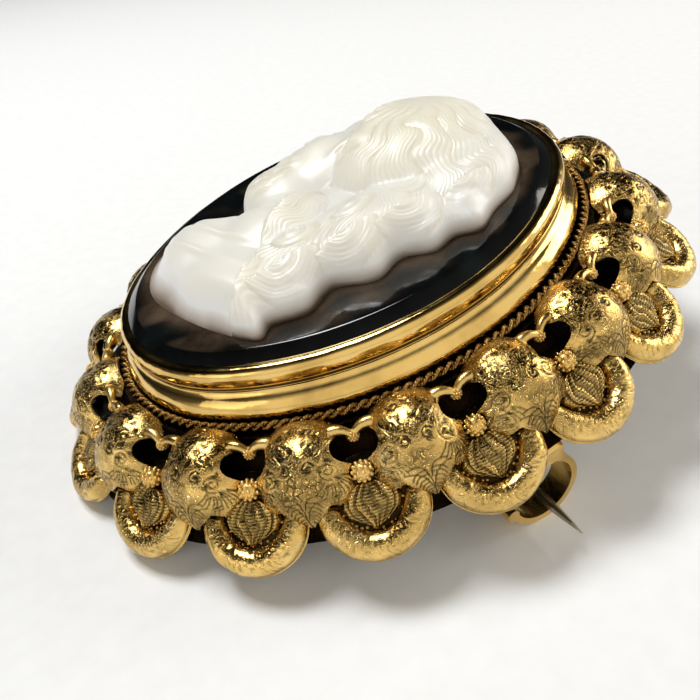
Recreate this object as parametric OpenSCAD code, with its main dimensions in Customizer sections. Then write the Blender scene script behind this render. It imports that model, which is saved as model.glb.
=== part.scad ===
// Oval cameo brooch: a white bust on a dark stone, a collet setting with a roped edge,
// and a leaning border of hollow leaf domes and scrolls, with its pin and catch behind.

/* [Stone] */
// Half length of the stone's flat top
stone_a = 20; // [19.5:0.25:20.5]
// Thickness of the stone
stone_thick = 2.4; // [2:0.1:2.8]
// Width of the sloping edge round the top
bevel_wide = 1.2; // [1:0.1:1.3]
// Drop of the sloping edge
bevel_drop = 0.7; // [0.5:0.1:0.8]
// Height of the stone's top above the rope
stone_top = 5; // [4.8:0.1:5.4]

/* [Bust] */
// Greatest height of the relief above the stone
relief_high = 6; // [5:0.25:6.5]
// Height at which the relief's side walls end
relief_wall = 2.4; // [2:0.1:3]
// Points along each stretch of the outline
outline_steps = 4; // [3:1:5]
// Rings from the outline to the middle
relief_rings = 20; // [14:1:22]

/* [Setting] */
// Thickness of the collet's wall
collet_wall = 0.8; // [0.7:0.05:0.9]
// Radius of the rounded upper rim
rim_radius = 0.78; // [0.7:0.02:0.84]
// Radius of the wide lower band
band_radius = 1.2; // [1.1:0.05:1.3]
// Radius of the groove between them
groove_radius = 0.3; // [0.2:0.02:0.34]
// Radius of the twisted wire round the foot
rope_radius = 0.45; // [0.4:0.01:0.48]

/* [Border] */
// Slope of the border
border_lean = 39; // [37:0.5:41]
// Radius of the sphere that a leaf dome is part of
dome_radius = 4.4; // [4.3:0.05:4.45]
// Thickness of a dome's sheet
dome_wall = 0.4; // [0.3:0.05:0.5]
// Radius of the round bite in each side of a dome
bite_radius = 1.25; // [1.1:0.05:1.3]
// Radius of a scroll, to the middle of its tube
scroll_radius = 3.4; // [3.3:0.05:3.45]
// Radius of a scroll's tube
tube_radius = 1.1; // [1:0.02:1.12]
// Radius of the grained bead between two domes
bead_radius = 0.8; // [0.7:0.05:0.85]
// Thickness of the sheets under domes and scrolls
sheet_thick = 0.4; // [0.35:0.05:0.45]

/* [Pin] */
// Radius of the pin's wire
pin_radius = 0.4; // [0.35:0.01:0.42]
// Place of the pin along the brooch
pin_x = -0.4; // [-0.6:0.1:0]
// Depth of the pin below the rope
pin_drop = 11.5; // [11.3:0.1:11.6]
// Distance of hinge and catch from the middle
hinge_y = 25.5; // [25.2:0.1:25.8]
// Radius of the hinge's knuckle
knuckle_radius = 1; // [0.9:0.05:1.1]
// Width of the hinge's knuckle
knuckle_wide = 2.4; // [2.4:0.1:2.6]
// Thickness of an ear of the hinge
ear_thick = 0.8; // [0.7:0.05:0.9]
// Radius of the rivet
rivet_radius = 0.35; // [0.3:0.01:0.38]
// Outer radius of the catch
catch_radius = 3.3; // [3.2:0.05:3.4]
// Thickness of the catch's ribbon
catch_thick = 0.55; // [0.45:0.05:0.6]
// Width of the catch's ribbon
catch_wide = 2.2; // [2:0.1:2.4]

/* [Hidden] */
$fn = 96;
gap = 0.05;
seat_gap = 0.1;
cut = 1;
rope_out = bevel_wide + 2.4;
rope_floor = -rope_radius - gap;
seat_wide = 1.8;
seat_thick = 0.6;
stone_low = stone_top - stone_thick;
border_out = rope_out + 3.85;
border_drop = 3;
plate_top = -0.2;
plate_thick = 0.5;
plate_in = 3.9;
plate_far = 4.2;
scroll_along = 1.85;
scroll_up = 0.31;
catch_drop = 10.1;
hinge_gap = 0.06;

// Domes and scrolls are spaced evenly along the rope, and the first scroll stands a small
// part of a space past the crown's end of the oval
unit_count = 18;
unit_phase = 0.098;

function names(word) = [for (i = [1 : unit_count]) str(word, i < 10 ? "0" : "", i)];
dome_names = names("leaf_dome_");
scroll_names = names("scroll_");

// The stone's top is an oval of four arcs that meet at 45 degrees. Its arcs' centres lie
// this far from the middle, along the oval and across it. With this length the arcs' radii
// come out as short decimals, so that neighbouring arcs meet exactly.
arc_shift = 6.6922;
join_turn = 45;
end_radius = stone_a - arc_shift;
side_radius = end_radius + arc_shift * sqrt(2);
stone_b = side_radius - arc_shift;

// Lengths along the oval that lies a given distance outside the stone's top
function end_arc(out) = (end_radius + out) * join_turn * PI / 180;
function side_arc(out) = (side_radius + out) * (90 - join_turn) * PI / 180;
function quarter(out) = end_arc(out) + side_arc(out);
function turn_in_quarter(run, out) = run <= end_arc(out)
    ? run / (end_radius + out) * 180 / PI
    : join_turn + (run - end_arc(out)) / (side_radius + out) * 180 / PI;

// The direction outward after a number of spaces round the rope, from the crown's end
function outward(spaces) =
    let (run = ((spaces + unit_phase) % unit_count) / unit_count * 4 * quarter(rope_out))
    let (quadrant = min(3, floor(run / quarter(rope_out) + 1e-9)))
    let (rest = run - quadrant * quarter(rope_out))
    quadrant % 2 == 0
        ? quadrant * 90 + turn_in_quarter(rest, rope_out)
        : (quadrant + 1) * 90 - turn_in_quarter(quarter(rope_out) - rest, rope_out);

// The centre of the arc that faces a direction
function arc_centre(turn) =
    abs(sin(turn)) < sin(join_turn)
        ? [sign(cos(turn)) * arc_shift, 0]
        : [0, -sign(sin(turn)) * arc_shift];
function arc_radius(turn) = abs(sin(turn)) < sin(join_turn) ? end_radius : side_radius;

// A profile carried round the oval: x is the distance outside the stone's top edge
module oval_ring() {
    for (side = [0, 180]) {
        rotate([0, 0, side])
            translate([arc_shift, 0, 0])
                rotate_extrude(angle = 2 * join_turn, start = -join_turn)
                    translate([end_radius, 0])
                        children();
        rotate([0, 0, side])
            translate([0, -arc_shift, 0])
                rotate_extrude(angle = 180 - 2 * join_turn, start = join_turn)
                    translate([side_radius, 0])
                        children();
    }
}

// The outline of the oval, a given distance outside the stone's top
module oval(out) {
    long_r = side_radius + out;
    end_r = end_radius + out;
    join_x = arc_shift + end_r * cos(join_turn);
    for (side = [-1, 1])
        translate([side * arc_shift, 0])
            circle(r = end_r);
    intersection() {
        translate([0, -arc_shift])
            circle(r = long_r);
        translate([0, arc_shift])
            circle(r = long_r);
        square([2 * join_x, 4 * long_r], center = true);
    }
}

// The tilt at which the brooch lies, with the end scroll and the catch on the ground
scroll_reach = scroll_along + scroll_radius + sqrt(tube_radius ^ 2 - sheet_thick ^ 2);
scroll_low = scroll_up - sheet_thick;
foot_out = end_radius + border_out + scroll_reach * cos(border_lean) + scroll_low * sin(border_lean);
foot_x = arc_shift + foot_out * cos(outward(unit_count / 2) - 180);
foot_z = -border_drop - scroll_reach * sin(border_lean) + scroll_low * cos(border_lean);
rise_a = foot_z + catch_drop;
rise_b = foot_x + pin_x;
lie_tilt = acos(-catch_radius / norm([rise_a, rise_b])) - atan2(rise_b, rise_a);
lie_lift = catch_drop * cos(lie_tilt) - pin_x * sin(lie_tilt) + catch_radius;
// What brings the middle of the whole brooch, pin included, over the origin
shift_x = -1.2;
shift_y = 0.9;

// The hinge's ears reach the ground as well
ear_x = knuckle_wide / 2 + hinge_gap + ear_thick;
ear_radius = (lie_lift - (ear_x - pin_x) * sin(lie_tilt)) / cos(lie_tilt) - pin_drop;

module lying() {
    translate([shift_x, shift_y, lie_lift])
        rotate([0, -lie_tilt, 0])
            children();
}

// A place on the sloping border: x runs down the slope, z stands off it
module on_border(turn) {
    spot = arc_centre(turn) + (arc_radius(turn) + border_out) * [cos(turn), sin(turn)];
    translate([spot[0], spot[1], -border_drop])
        rotate([0, 0, turn])
            rotate([0, border_lean, 0])
                children();
}

// The dark stone, with a sloping edge that the collet's rim laps over
module stone_ground() {
    color("#1d1f22")
        difference() {
            translate([0, 0, stone_low])
                linear_extrude(stone_thick)
                    oval(bevel_wide);
            oval_ring()
                polygon([[0, stone_top], [bevel_wide, stone_top - bevel_drop],
                    [bevel_wide + cut, stone_top - bevel_drop], [bevel_wide + cut, stone_top + cut],
                    [0, stone_top + cut]]);
        }
}

// The collet: rim, groove, wide band, and the ledge that the stone lies on
rim_drop = 1.35;
rim_shift = 0.1;
band_up = 0.75;
band_sink = 0.25;
groove_up = 2.28;
groove_shift = 0.12;

module collet_profile() {
    wall_in = bevel_wide + seat_gap;
    wall_out = wall_in + collet_wall + gap;
    foot = rope_floor + gap;
    difference() {
        union() {
            translate([wall_in + rim_shift, stone_top - rim_drop])
                circle(r = rim_radius);
            translate([wall_in, foot])
                square([wall_out - wall_in, stone_top - rim_drop - foot]);
            intersection() {
                translate([wall_out - band_sink, band_up])
                    circle(r = band_radius);
                translate([wall_in, foot])
                    square(3 * band_radius);
            }
            translate([wall_in, foot])
                square([wall_out - band_sink + band_radius - wall_in, band_up - foot]);
            translate([wall_in - seat_wide, stone_low - seat_thick])
                square([seat_wide + gap, seat_thick]);
        }
        polygon([[-cut, stone_top + bevel_drop * cut / bevel_wide + seat_gap],
            [bevel_wide + seat_gap / 2, stone_top - bevel_drop + seat_gap / 2],
            [wall_in, stone_top - bevel_drop], [wall_in, stone_low],
            [-2 * seat_wide, stone_low], [-2 * seat_wide, stone_top + 2 * cut]]);
        translate([wall_out + groove_shift, groove_up])
            circle(r = groove_radius);
    }
}

module collet() {
    color("#d9a441")
        oval_ring()
            collet_profile();
}

// The rope that hides the collet's foot
module rope_edge() {
    color("#a9782c")
        oval_ring()
            translate([rope_out, 0])
                circle(r = rope_radius);
}

// The sloping sheet that carries the border, and its flat edge under the rope
plate_lap = 0.8;

module border_plate() {
    color("#8a6424")
        oval_ring()
            difference() {
                union() {
                    translate([bevel_wide + seat_gap, rope_floor - plate_thick])
                        square([rope_out + plate_lap - bevel_wide - seat_gap, plate_thick]);
                    translate([border_out, -border_drop])
                        rotate(-border_lean)
                            translate([-plate_in, plate_top - plate_thick])
                                square([plate_in + plate_far, plate_thick]);
                }
                translate([bevel_wide - cut, rope_floor])
                    square([rope_out, border_drop]);
            }
}

// Everything above the plate's underside, where catch and hinge end
module above_plate(turn) {
    size = 20;
    on_border(turn)
        translate([-size / 2, -size / 2, plate_top - plate_thick - gap])
            cube([size, size, size / 2]);
}

// The outline of a leaf: a round body, two side lobes and a pointed tip, with two bites
dome_along = -0.9;
dome_sink = 1.35;
lobe_radius = 1.8;
lobe_along = -0.1;
lobe_side = 2.3;
tip_radius = 2.75;
tip_side = 0.65;
tip_along = 0.5;
bite_along = -2.4;
bite_side = 3.7;
bead_along = -0.15;
bead_up = 1.2;
bead_room = 0.12;
tube_turn = 70;

module leaf_outline() {
    translate([lobe_along - 2 * dome_radius, -dome_radius])
        square([2 * dome_radius, 2 * dome_radius]);
    for (side = [-1, 1])
        translate([lobe_along, side * lobe_side])
            circle(r = lobe_radius);
    intersection() {
        translate([tip_along, tip_side])
            circle(r = tip_radius);
        translate([tip_along, -tip_side])
            circle(r = tip_radius);
    }
}

// The room that a scroll and its bead need in the leaf beside them
module scroll_room() {
    translate([scroll_along, 0, scroll_up]) {
        rotate_extrude(angle = 2 * tube_turn + 4, start = -tube_turn - 2)
            translate([scroll_radius, 0])
                circle(r = tube_radius + gap);
        translate([0, 0, -sheet_thick - gap])
            cylinder(r = scroll_radius, h = sheet_thick + 2 * gap);
    }
    translate([bead_along, 0, -cut])
        cylinder(r = bead_radius + bead_room, h = dome_radius + 2 * cut);
}

module leaf_dome(i) {
    color("#c8973a")
        difference() {
            on_border(outward(i + 0.5))
                difference() {
                    intersection() {
                        translate([dome_along, 0, -dome_sink])
                            sphere(r = dome_radius);
                        linear_extrude(dome_radius)
                            leaf_outline();
                    }
                    translate([dome_along, 0, -dome_sink])
                        sphere(r = dome_radius - dome_wall);
                    for (side = [-1, 1])
                        translate([bite_along, side * bite_side, -cut])
                            cylinder(r = bite_radius, h = dome_radius + 2 * cut);
                }
            translate([0, 0, -border_drop])
                linear_extrude(2 * dome_radius)
                    oval(rope_out + rope_radius + gap);
            for (beside = [i, i + 1])
                on_border(outward(beside))
                    scroll_room();
        }
}

// A scroll: a tube bent to a U on its own sheet, a ribbed shell inside it and a bead above
rib_count = 5;
rib_radius = 0.5;
rib_up = 0.35;
rib_spread = 34;
rib_root = -1.05;
rib_long = 2.9;
post_radius = 0.4;

module scroll(i) {
    color("#c28f35")
        on_border(outward(i))
            translate([scroll_along, 0, scroll_up]) {
                rotate_extrude(angle = 2 * tube_turn, start = -tube_turn)
                    translate([scroll_radius, 0])
                        intersection() {
                            circle(r = tube_radius);
                            translate([-tube_radius, -sheet_thick])
                                square([2 * tube_radius, 2 * tube_radius]);
                        }
                translate([0, 0, -sheet_thick])
                    cylinder(r = scroll_radius, h = sheet_thick);
                for (rib = [0 : rib_count - 1])
                    translate([rib_root, 0, rib_up])
                        rotate([0, 0, rib_spread * (2 * rib / (rib_count - 1) - 1)]) {
                            rotate([0, 90, 0])
                                cylinder(r = rib_radius, h = rib_long);
                            translate([rib_long, 0, 0])
                                sphere(r = rib_radius);
                        }
                translate([bead_along - scroll_along, 0, -sheet_thick / 2])
                    cylinder(r = post_radius, h = bead_up);
                translate([bead_along - scroll_along, 0, bead_up - scroll_up])
                    sphere(r = bead_radius);
            }
}

// The catch: a ribbon bent to an open C, with a rolled end and a foot under the border
catch_start = -170;
catch_sweep = 243;
roll_radius = 0.55;
catch_foot = [2, 3];
foot_lap = 0.9;
foot_shift = 0.3;

module catch() {
    color("#caa04a")
        difference() {
            union() {
                translate([pin_x, -hinge_y + catch_wide / 2, -catch_drop])
                    rotate([90, 0, 0]) {
                        rotate_extrude(angle = catch_sweep, start = catch_start)
                            translate([catch_radius - catch_thick, 0])
                                square([catch_thick, catch_wide]);
                        rotate([0, 0, catch_start])
                            translate([catch_radius - 0.1, 0, 0])
                                cylinder(r = roll_radius, h = catch_wide);
                    }
                translate([pin_x + foot_shift, -hinge_y - catch_wide / 2, catch_radius - catch_drop - foot_lap])
                    cube([catch_foot[0], catch_wide, catch_foot[1]]);
            }
            above_plate(-90);
        }
}

// The hinge: two ears on one foot, with a rivet through them
ear_rise = 5;
hinge_foot = 4;
rivet_room = 0.03;
head_thick = 0.25;
head_lap = 0.25;

module ear(side) {
    translate([pin_x + side * (ear_x - ear_thick / 2) - ear_thick / 2, hinge_y, -pin_drop])
        rotate([0, 90, 0]) {
            cylinder(r = ear_radius, h = ear_thick);
            translate([-ear_rise, -ear_radius, 0])
                cube([ear_rise, 2 * ear_radius, ear_thick]);
        }
}

module hinge_ears() {
    color("#caa04a")
        difference() {
            union() {
                ear(-1);
                ear(1);
                translate([pin_x - ear_x, hinge_y - ear_radius, foot_lap + knuckle_radius - pin_drop])
                    cube([2 * ear_x, 2 * ear_radius, hinge_foot]);
            }
            above_plate(90);
            translate([pin_x - ear_x - cut, hinge_y, -pin_drop])
                rotate([0, 90, 0])
                    cylinder(r = rivet_radius + rivet_room, h = 2 * ear_x + 2 * cut);
        }
}

module hinge_rivet() {
    half = ear_x + head_thick + gap;
    color("#b98f45")
        translate([pin_x - half, hinge_y, -pin_drop])
            rotate([0, 90, 0]) {
                cylinder(r = rivet_radius, h = 2 * half);
                for (end = [0, 2 * half - head_thick])
                    translate([0, 0, end])
                        cylinder(r = rivet_radius + head_lap, h = head_thick);
            }
}

// The pin: knuckle, wire and ground point
pin_end = hinge_y + 5;
point_long = 3;
point_radius = 0.05;

module pin() {
    color("#b8b2a4")
        translate([pin_x, hinge_y, -pin_drop])
            difference() {
                union() {
                    translate([-knuckle_wide / 2, 0, 0])
                        rotate([0, 90, 0])
                            cylinder(r = knuckle_radius, h = knuckle_wide);
                    rotate([90, 0, 0])
                        cylinder(r = pin_radius, h = hinge_y + pin_end - point_long);
                    translate([0, -hinge_y - pin_end + point_long, 0])
                        rotate([90, 0, 0])
                            cylinder(r1 = pin_radius, r2 = point_radius, h = point_long);
                }
                translate([-knuckle_wide, 0, 0])
                    rotate([0, 90, 0])
                        cylinder(r = rivet_radius + hinge_gap, h = 2 * knuckle_wide);
            }
}

// The bust's outline, seen from above: x towards the crown, y towards the face
// name, x, y
bust_outline = [
    ["crown", 17, -2.5], ["front hair", 16.5, 2.2], ["hairline", 13.2, 6.6],
    ["forehead", 10, 8.9], ["brow", 7.5, 9.8], ["bridge", 6.2, 9.6],
    ["nose", 3.7, 11.6], ["nose tip", 2.9, 11.9], ["nose foot", 2.3, 10.6],
    ["upper lip", 1.2, 10.9], ["mouth", 0.6, 10.3], ["lower lip", -0.1, 10.6],
    ["chin fold", -1.1, 9.9], ["beard front", -2.8, 10.2], ["beard end", -5, 8.9],
    ["throat", -6.6, 6.2], ["neck", -7.6, 5], ["collarbone", -8.9, 5.3],
    ["breast", -11, 8], ["far shoulder", -13.6, 9.9], ["far corner", -16.6, 7.4],
    ["hollow", -18, 2.4], ["hollow near", -16.2, -5], ["near corner", -13.3, -10.9],
    ["shoulder end", -11.5, -10.4], ["shoulder curl", -8.6, -11.4], ["dip", -5.7, -10.3],
    ["side curl", -2.8, -12.2], ["side dip", 0.2, -11.4], ["ear curl", 2.5, -12.9],
    ["nape dip", 4.7, -12.6], ["ribbon", 6.7, -13.6], ["back dip", 9.2, -12.2],
    ["back", 12.2, -11], ["back of crown", 15.3, -7.8]
];

// Rounded masses of the bust: name, x, y, half length, half width, turn, height
bust_masses = [
    ["skull", 9, 0.2, 9, 8.6, 10, 6.1],
    ["back hair", 9.4, -6.4, 7.4, 6.8, -20, 4.9],
    ["face", 3.4, 5, 8.6, 6, -8, 5],
    ["beard", -2.8, 4.6, 5, 4.8, 20, 4.7],
    ["neck", -6, -0.4, 6.6, 5.4, 0, 4.9],
    ["breast", -12, 3.2, 6.6, 7, 20, 4.4],
    ["shoulder", -12, -4.6, 5.4, 7.4, -15, 4.7],
    ["side hair", 0, -7.8, 8, 5.6, 0, 5.1],
    ["nape hair", -6.6, -6.8, 5.4, 5, 0, 5.2]
];

// Locks of hair, each an arc: name, centre x, y, start and end radius, start, sweep, width, rise
hair_locks = [
    ["temple wave", 9, 1, 6.4, 5.6, 20, 130, 2.2, 0.7],
    ["crown wave", 8, -1, 8.2, 7, 40, 150, 2.2, 0.75],
    ["inner wave", 8.6, -1.4, 3.6, 2.4, 30, 250, 1.8, 0.7],
    ["ear curl", 2.4, -9.8, 2.6, 0.8, 200, -420, 1.5, 1],
    ["side curl", -2.8, -9.2, 2.6, 0.8, 60, 420, 1.5, 1],
    ["shoulder curl", -8.4, -8.2, 2.7, 0.8, 20, 420, 1.4, 1],
    ["nape wave", 9.4, -7.6, 2.8, 1.4, 90, 260, 1.5, 0.7],
    ["falling lock", -3.6, -3, 4.8, 4.2, 150, 110, 1.8, 0.9],
    ["front lock", 2.4, -2.4, 4.6, 3.8, 120, 160, 1.6, 0.7],
    ["back wave", 12.6, -3.4, 3.4, 2.4, 150, 190, 1.6, 0.7]
];

// Features of the face and folds of the dress: name, x, y, half length, half width, turn, rise
bust_details = [
    ["brow ridge", 7.3, 7.4, 0.8, 2.4, 14, 0.35],
    ["eye hollow", 6, 7.3, 1.1, 2.1, 8, -0.6],
    ["eyeball", 5.9, 7.3, 0.7, 1, 0, 0.45],
    ["nose", 4.1, 10, 2.4, 1.2, -30, 0.7],
    ["nostril wing", 2.9, 9.7, 0.6, 0.8, 0, 0.3],
    ["lips", 0.7, 9.7, 1, 1.2, 0, 0.4],
    ["mouth line", 0.6, 9.7, 0.16, 1.2, 0, -0.35],
    ["beard", -2.6, 8.6, 2, 1.4, 10, 0.45],
    ["cheek", 2.6, 6, 2.4, 2, 0, 0.3],
    ["under jaw", -6.4, 3.6, 1, 3.4, 24, -0.7],
    ["dress fold", -10.8, 2.5, 0.6, 5.2, 22, 0.4],
    ["second fold", -13.2, 1.5, 0.6, 6.2, 20, 0.4],
    ["third fold", -15.6, -0.5, 0.6, 6, 8, 0.3]
];

function smooth_pass(p0, p1, p2, p3, t) = 0.5 * (2 * p1 + (p2 - p0) * t
    + (2 * p0 - 5 * p1 + 4 * p2 - p3) * t ^ 2 + (3 * p1 - p0 - 3 * p2 + p3) * t ^ 3);

function outline_spot(i) =
    let (row = bust_outline[i % len(bust_outline)])
    [row[1], row[2]];

outline_count = len(bust_outline) * outline_steps;
outline = [for (i = [0 : len(bust_outline) - 1], s = [0 : outline_steps - 1])
    smooth_pass(outline_spot(i + len(bust_outline) - 1), outline_spot(i), outline_spot(i + 1),
        outline_spot(i + 2), s / outline_steps)];

// The middle line that the rings close on
function middle(p) = [max(-12.5, min(9, p[0])), -1.7];

// A rounded mass: its height at a place, zero outside it
function turned(p, row) =
    let (d = p - [row[1], row[2]])
    [(d[0] * cos(row[5]) + d[1] * sin(row[5])) / row[3], (d[1] * cos(row[5]) - d[0] * sin(row[5])) / row[4]];
function mass_high(p, row) =
    let (q = turned(p, row))
    row[6] * sqrt(max(0, 1 - (q * q) ^ 1.5));

// A feature, highest in its middle and fading out past its half sizes
feature_fade = 1.4;
function detail_high(p, row) =
    let (q = turned(p, row))
    row[6] * exp(-feature_fade * q * q);

// A lock of hair: a rounded ridge along an arc that winds inward or outward
function lock_high(p, row) =
    let (d = p - [row[1], row[2]])
    let (far = norm(d))
    let (way = sign(row[6]))
    let (from_start = (way * (atan2(d[1], d[0]) - row[5]) % 360 + 360) % 360)
    max([for (lap = [0, 360])
        let (along = (from_start + lap) / abs(row[6]))
        let (off = abs(far - row[3] - (row[4] - row[3]) * min(1, along)) / (row[7] / 2))
        along > 1 || off > 1 ? 0 : row[8] * (0.5 + 0.5 * cos(180 * off)) * min(1, 6 * (1 - along) + 0.2)]);

function sum(list, i = 0) = i >= len(list) ? 0 : list[i] + sum(list, i + 1);

// The masses flow into each other: the higher the number, the narrower the valley between
mass_blend = 4;
function relief_raw(p) =
    let (masses = [for (row = bust_masses) mass_high(p, row)])
    let (soft = ln(sum([for (m = masses) exp(mass_blend * m)]) / len(masses)) / mass_blend)
    max(relief_wall, soft) + max([for (row = hair_locks) lock_high(p, row)])
        + sum([for (row = bust_details) detail_high(p, row)]);

// The greatest height that the tables give
table_high = 6.3;
function relief_at(p) = min(relief_high, relief_raw(p) * relief_high / table_high);

// How far a ring has come from the outline, and the softening of the wall's top edge
function ring_in(k) = k == 0 ? 0 : 0.02 + 0.98 * ((k - 1) / (relief_rings - 1)) ^ 1.15;
function edge_drop(k) = k == 0 ? 1 : k == 1 ? 0.3 : k == 2 ? 0.08 : 0;

// The strip that closes the innermost ring, from the crown down to the hollow: i runs along
// its far side and j along its near side, and the one that lies higher steps first
foot_index = outline_steps * 21;
function close_ring(xs, last, n, i, j) =
    i >= foot_index && j <= foot_index ? []
        : j <= foot_index || (i < foot_index && xs[last + i + 1] >= xs[last + (j - 1) % n])
            ? concat(ring_face(last + i, last + i + 1, last + j % n), close_ring(xs, last, n, i + 1, j))
            : concat(ring_face(last + i, last + j - 1, last + j % n), close_ring(xs, last, n, i, j - 1));
function ring_face(a, b, c) = a == b || b == c || a == c ? [] : [[a, b, c]];

module cameo_bust() {
    rings = [for (k = [0 : relief_rings - 1], p = outline)
        let (q = p + (middle(p) - p) * min(0.97, ring_in(k)))
        [q[0], q[1], stone_top + gap + relief_at(q) * (1 - edge_drop(k))]];
    n = outline_count;
    last = (relief_rings - 1) * n;
    sides = [for (k = [0 : relief_rings - 2], i = [0 : n - 1])
        let (a = k * n + i)
        let (b = k * n + (i + 1) % n)
        each [[a, b, b + n], [a, b + n, a + n]]];
    strip = close_ring([for (q = rings) q[0]], last, n, 0, n);
    floor_face = [for (i = [n - 1 : -1 : 0]) i];
    color("#ece6da")
        polyhedron(points = rings, faces = concat(sides, strip, [floor_face]), convexity = 8);
}

lying() stone_ground();
lying() cameo_bust();
lying() collet();
lying() rope_edge();
lying() border_plate();
for (i = [0 : unit_count - 1])
    lying() leaf_dome(i);
for (i = [0 : unit_count - 1])
    lying() scroll(i);
lying() catch();
lying() hinge_ears();
lying() hinge_rivet();
lying() pin();
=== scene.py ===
import math

import bmesh
import bpy
import numpy as np
from mathutils import Matrix, Vector, noise


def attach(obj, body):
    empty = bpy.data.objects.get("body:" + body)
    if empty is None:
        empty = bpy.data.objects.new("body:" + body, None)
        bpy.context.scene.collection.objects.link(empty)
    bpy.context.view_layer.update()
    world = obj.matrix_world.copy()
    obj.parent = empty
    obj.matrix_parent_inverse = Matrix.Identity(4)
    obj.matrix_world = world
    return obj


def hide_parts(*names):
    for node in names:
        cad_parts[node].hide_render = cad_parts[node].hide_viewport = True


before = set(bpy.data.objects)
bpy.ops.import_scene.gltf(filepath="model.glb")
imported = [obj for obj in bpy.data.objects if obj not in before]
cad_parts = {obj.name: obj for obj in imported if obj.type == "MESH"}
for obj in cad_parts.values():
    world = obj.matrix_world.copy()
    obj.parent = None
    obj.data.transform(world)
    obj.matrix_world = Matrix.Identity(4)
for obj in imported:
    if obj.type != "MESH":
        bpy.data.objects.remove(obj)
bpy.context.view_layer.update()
print("frame loaded, nodes:", len(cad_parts))

# Sizes of the whole brooch in millimetres, as the solids have them
oval = {"halfLength": 20.0, "arcShift": 6.6922, "joinTurn": math.radians(45)}
lying = {"tilt": math.radians(11.4469), "lift": 13.2785, "alongX": -1.2, "alongY": 0.9}
border = {"units": 18, "phase": 0.098, "ropeOut": 3.6, "out": 7.45, "drop": 3.0, "lean": math.radians(39),
          "scrollAlong": 1.85, "scrollUp": 0.31, "beadAlong": -0.15, "beadUp": 1.2}
endRadius = oval["halfLength"] - oval["arcShift"]
sideRadius = endRadius + oval["arcShift"] * math.sqrt(2)


def lieDown(points):  # brooch frame in mm to the scene's frame in metres
    p = np.asarray(points, float)
    c, s = math.cos(lying["tilt"]), math.sin(lying["tilt"])
    x = p[..., 0] * c - p[..., 2] * s + lying["alongX"]
    z = p[..., 0] * s + p[..., 2] * c + lying["lift"]
    return np.stack([x, p[..., 1] + lying["alongY"], z], -1) * 0.001


def arcOf(turn):  # centre and radius of the arc that faces each direction
    nearEnd = np.abs(np.sin(turn)) < math.sin(oval["joinTurn"]) - 1e-9
    cx = np.where(nearEnd, np.sign(np.cos(turn)) * oval["arcShift"], 0.0)
    cy = np.where(nearEnd, 0.0, -np.sign(np.sin(turn)) * oval["arcShift"])
    return cx, cy, np.where(nearEnd, endRadius, sideRadius)


def turnAt(part, out):  # direction outward after each fraction of the way round
    endRun = (endRadius + out) * math.pi / 4
    quarter = endRun + (sideRadius + out) * math.pi / 4
    run = np.asarray(part, float) % 1 * 4 * quarter
    quadrant = np.minimum(3, np.floor(run / quarter + 1e-9))
    rest = run - quadrant * quarter
    rest = np.where(quadrant % 2 == 0, rest, quarter - rest)
    inEnd = rest / (endRadius + out)
    inSide = math.pi / 4 + (rest - endRun) / (sideRadius + out)
    turn = np.where(rest <= endRun, inEnd, inSide)
    return np.where(quadrant % 2 == 0, quadrant * math.pi / 2 + turn, (quadrant + 1) * math.pi / 2 - turn)


def ovalSpot(turn, out):  # a point of the oval that lies the given distance outside the stone's top
    cx, cy, r = arcOf(turn)
    return np.stack([cx + (r + out) * np.cos(turn), cy + (r + out) * np.sin(turn)], -1)


def unitTurn(spaces):  # direction outward after a number of spaces round the rope
    return float(turnAt((spaces + border["phase"]) / border["units"], border["ropeOut"]))


def onBorder(points, turn):  # from the sloping border's own frame to the brooch frame
    p = np.asarray(points, float)
    c, s = math.cos(border["lean"]), math.sin(border["lean"])
    x, z = p[..., 0] * c + p[..., 2] * s, p[..., 2] * c - p[..., 0] * s
    spot = ovalSpot(np.array(turn), border["out"])
    ct, st = math.cos(turn), math.sin(turn)
    y = p[..., 1]
    return np.stack([spot[0] + x * ct - y * st, spot[1] + x * st + y * ct, z - border["drop"]], -1)


def fromBorder(points, turn):  # the way back from the brooch frame
    c, s = math.cos(border["lean"]), math.sin(border["lean"])
    spot = ovalSpot(np.array(turn), border["out"])
    ct, st = math.cos(turn), math.sin(turn)
    dx, dy = points[..., 0] - spot[0], points[..., 1] - spot[1]
    x, y, z = dx * ct + dy * st, dy * ct - dx * st, points[..., 2] + border["drop"]
    return np.stack([x * c - z * s, y, x * s + z * c], -1)


def gridFaces(rows, columns, closed=True, flip=False):  # faces of a grid of rows x columns points
    i, j = np.meshgrid(np.arange(rows - 1), np.arange(columns if closed else columns - 1), indexing="ij")
    nextJ = (j + 1) % columns
    here, above = i * columns, (i + 1) * columns
    quads = np.stack([here + j, here + nextJ, above + nextJ, above + j], -1).reshape(-1, 4)
    return quads[:, ::-1] if flip else quads


def makeMesh(name, points, faces, attributes=None, uv=None):
    mesh = bpy.data.meshes.new(name)
    mesh.from_pydata([tuple(p) for p in points], [], [tuple(int(v) for v in f if v >= 0) for f in faces])
    mesh.update()
    for label, values in (attributes or {}).items():
        mesh.attributes.new(label, "FLOAT", "POINT").data.foreach_set("value", np.asarray(values, np.float32))
    if uv is not None:
        layer = mesh.uv_layers.new(name="surface")
        corners = np.zeros(len(mesh.loops), np.int32)
        mesh.loops.foreach_get("vertex_index", corners)
        layer.data.foreach_set("uv", np.asarray(uv, np.float32)[corners].ravel())
    mesh.polygons.foreach_set("use_smooth", np.ones(len(mesh.polygons), bool))
    return mesh


def newObject(name, data):
    made = bpy.data.objects.new(name, data)
    bpy.context.scene.collection.objects.link(made)
    return made


def makePiece(name, mesh, material, body, nodes=()):
    piece = newObject(name, mesh)
    if not mesh.materials:
        mesh.materials.append(material)
    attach(piece, body)
    if nodes:
        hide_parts(*nodes)
    return piece


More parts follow.
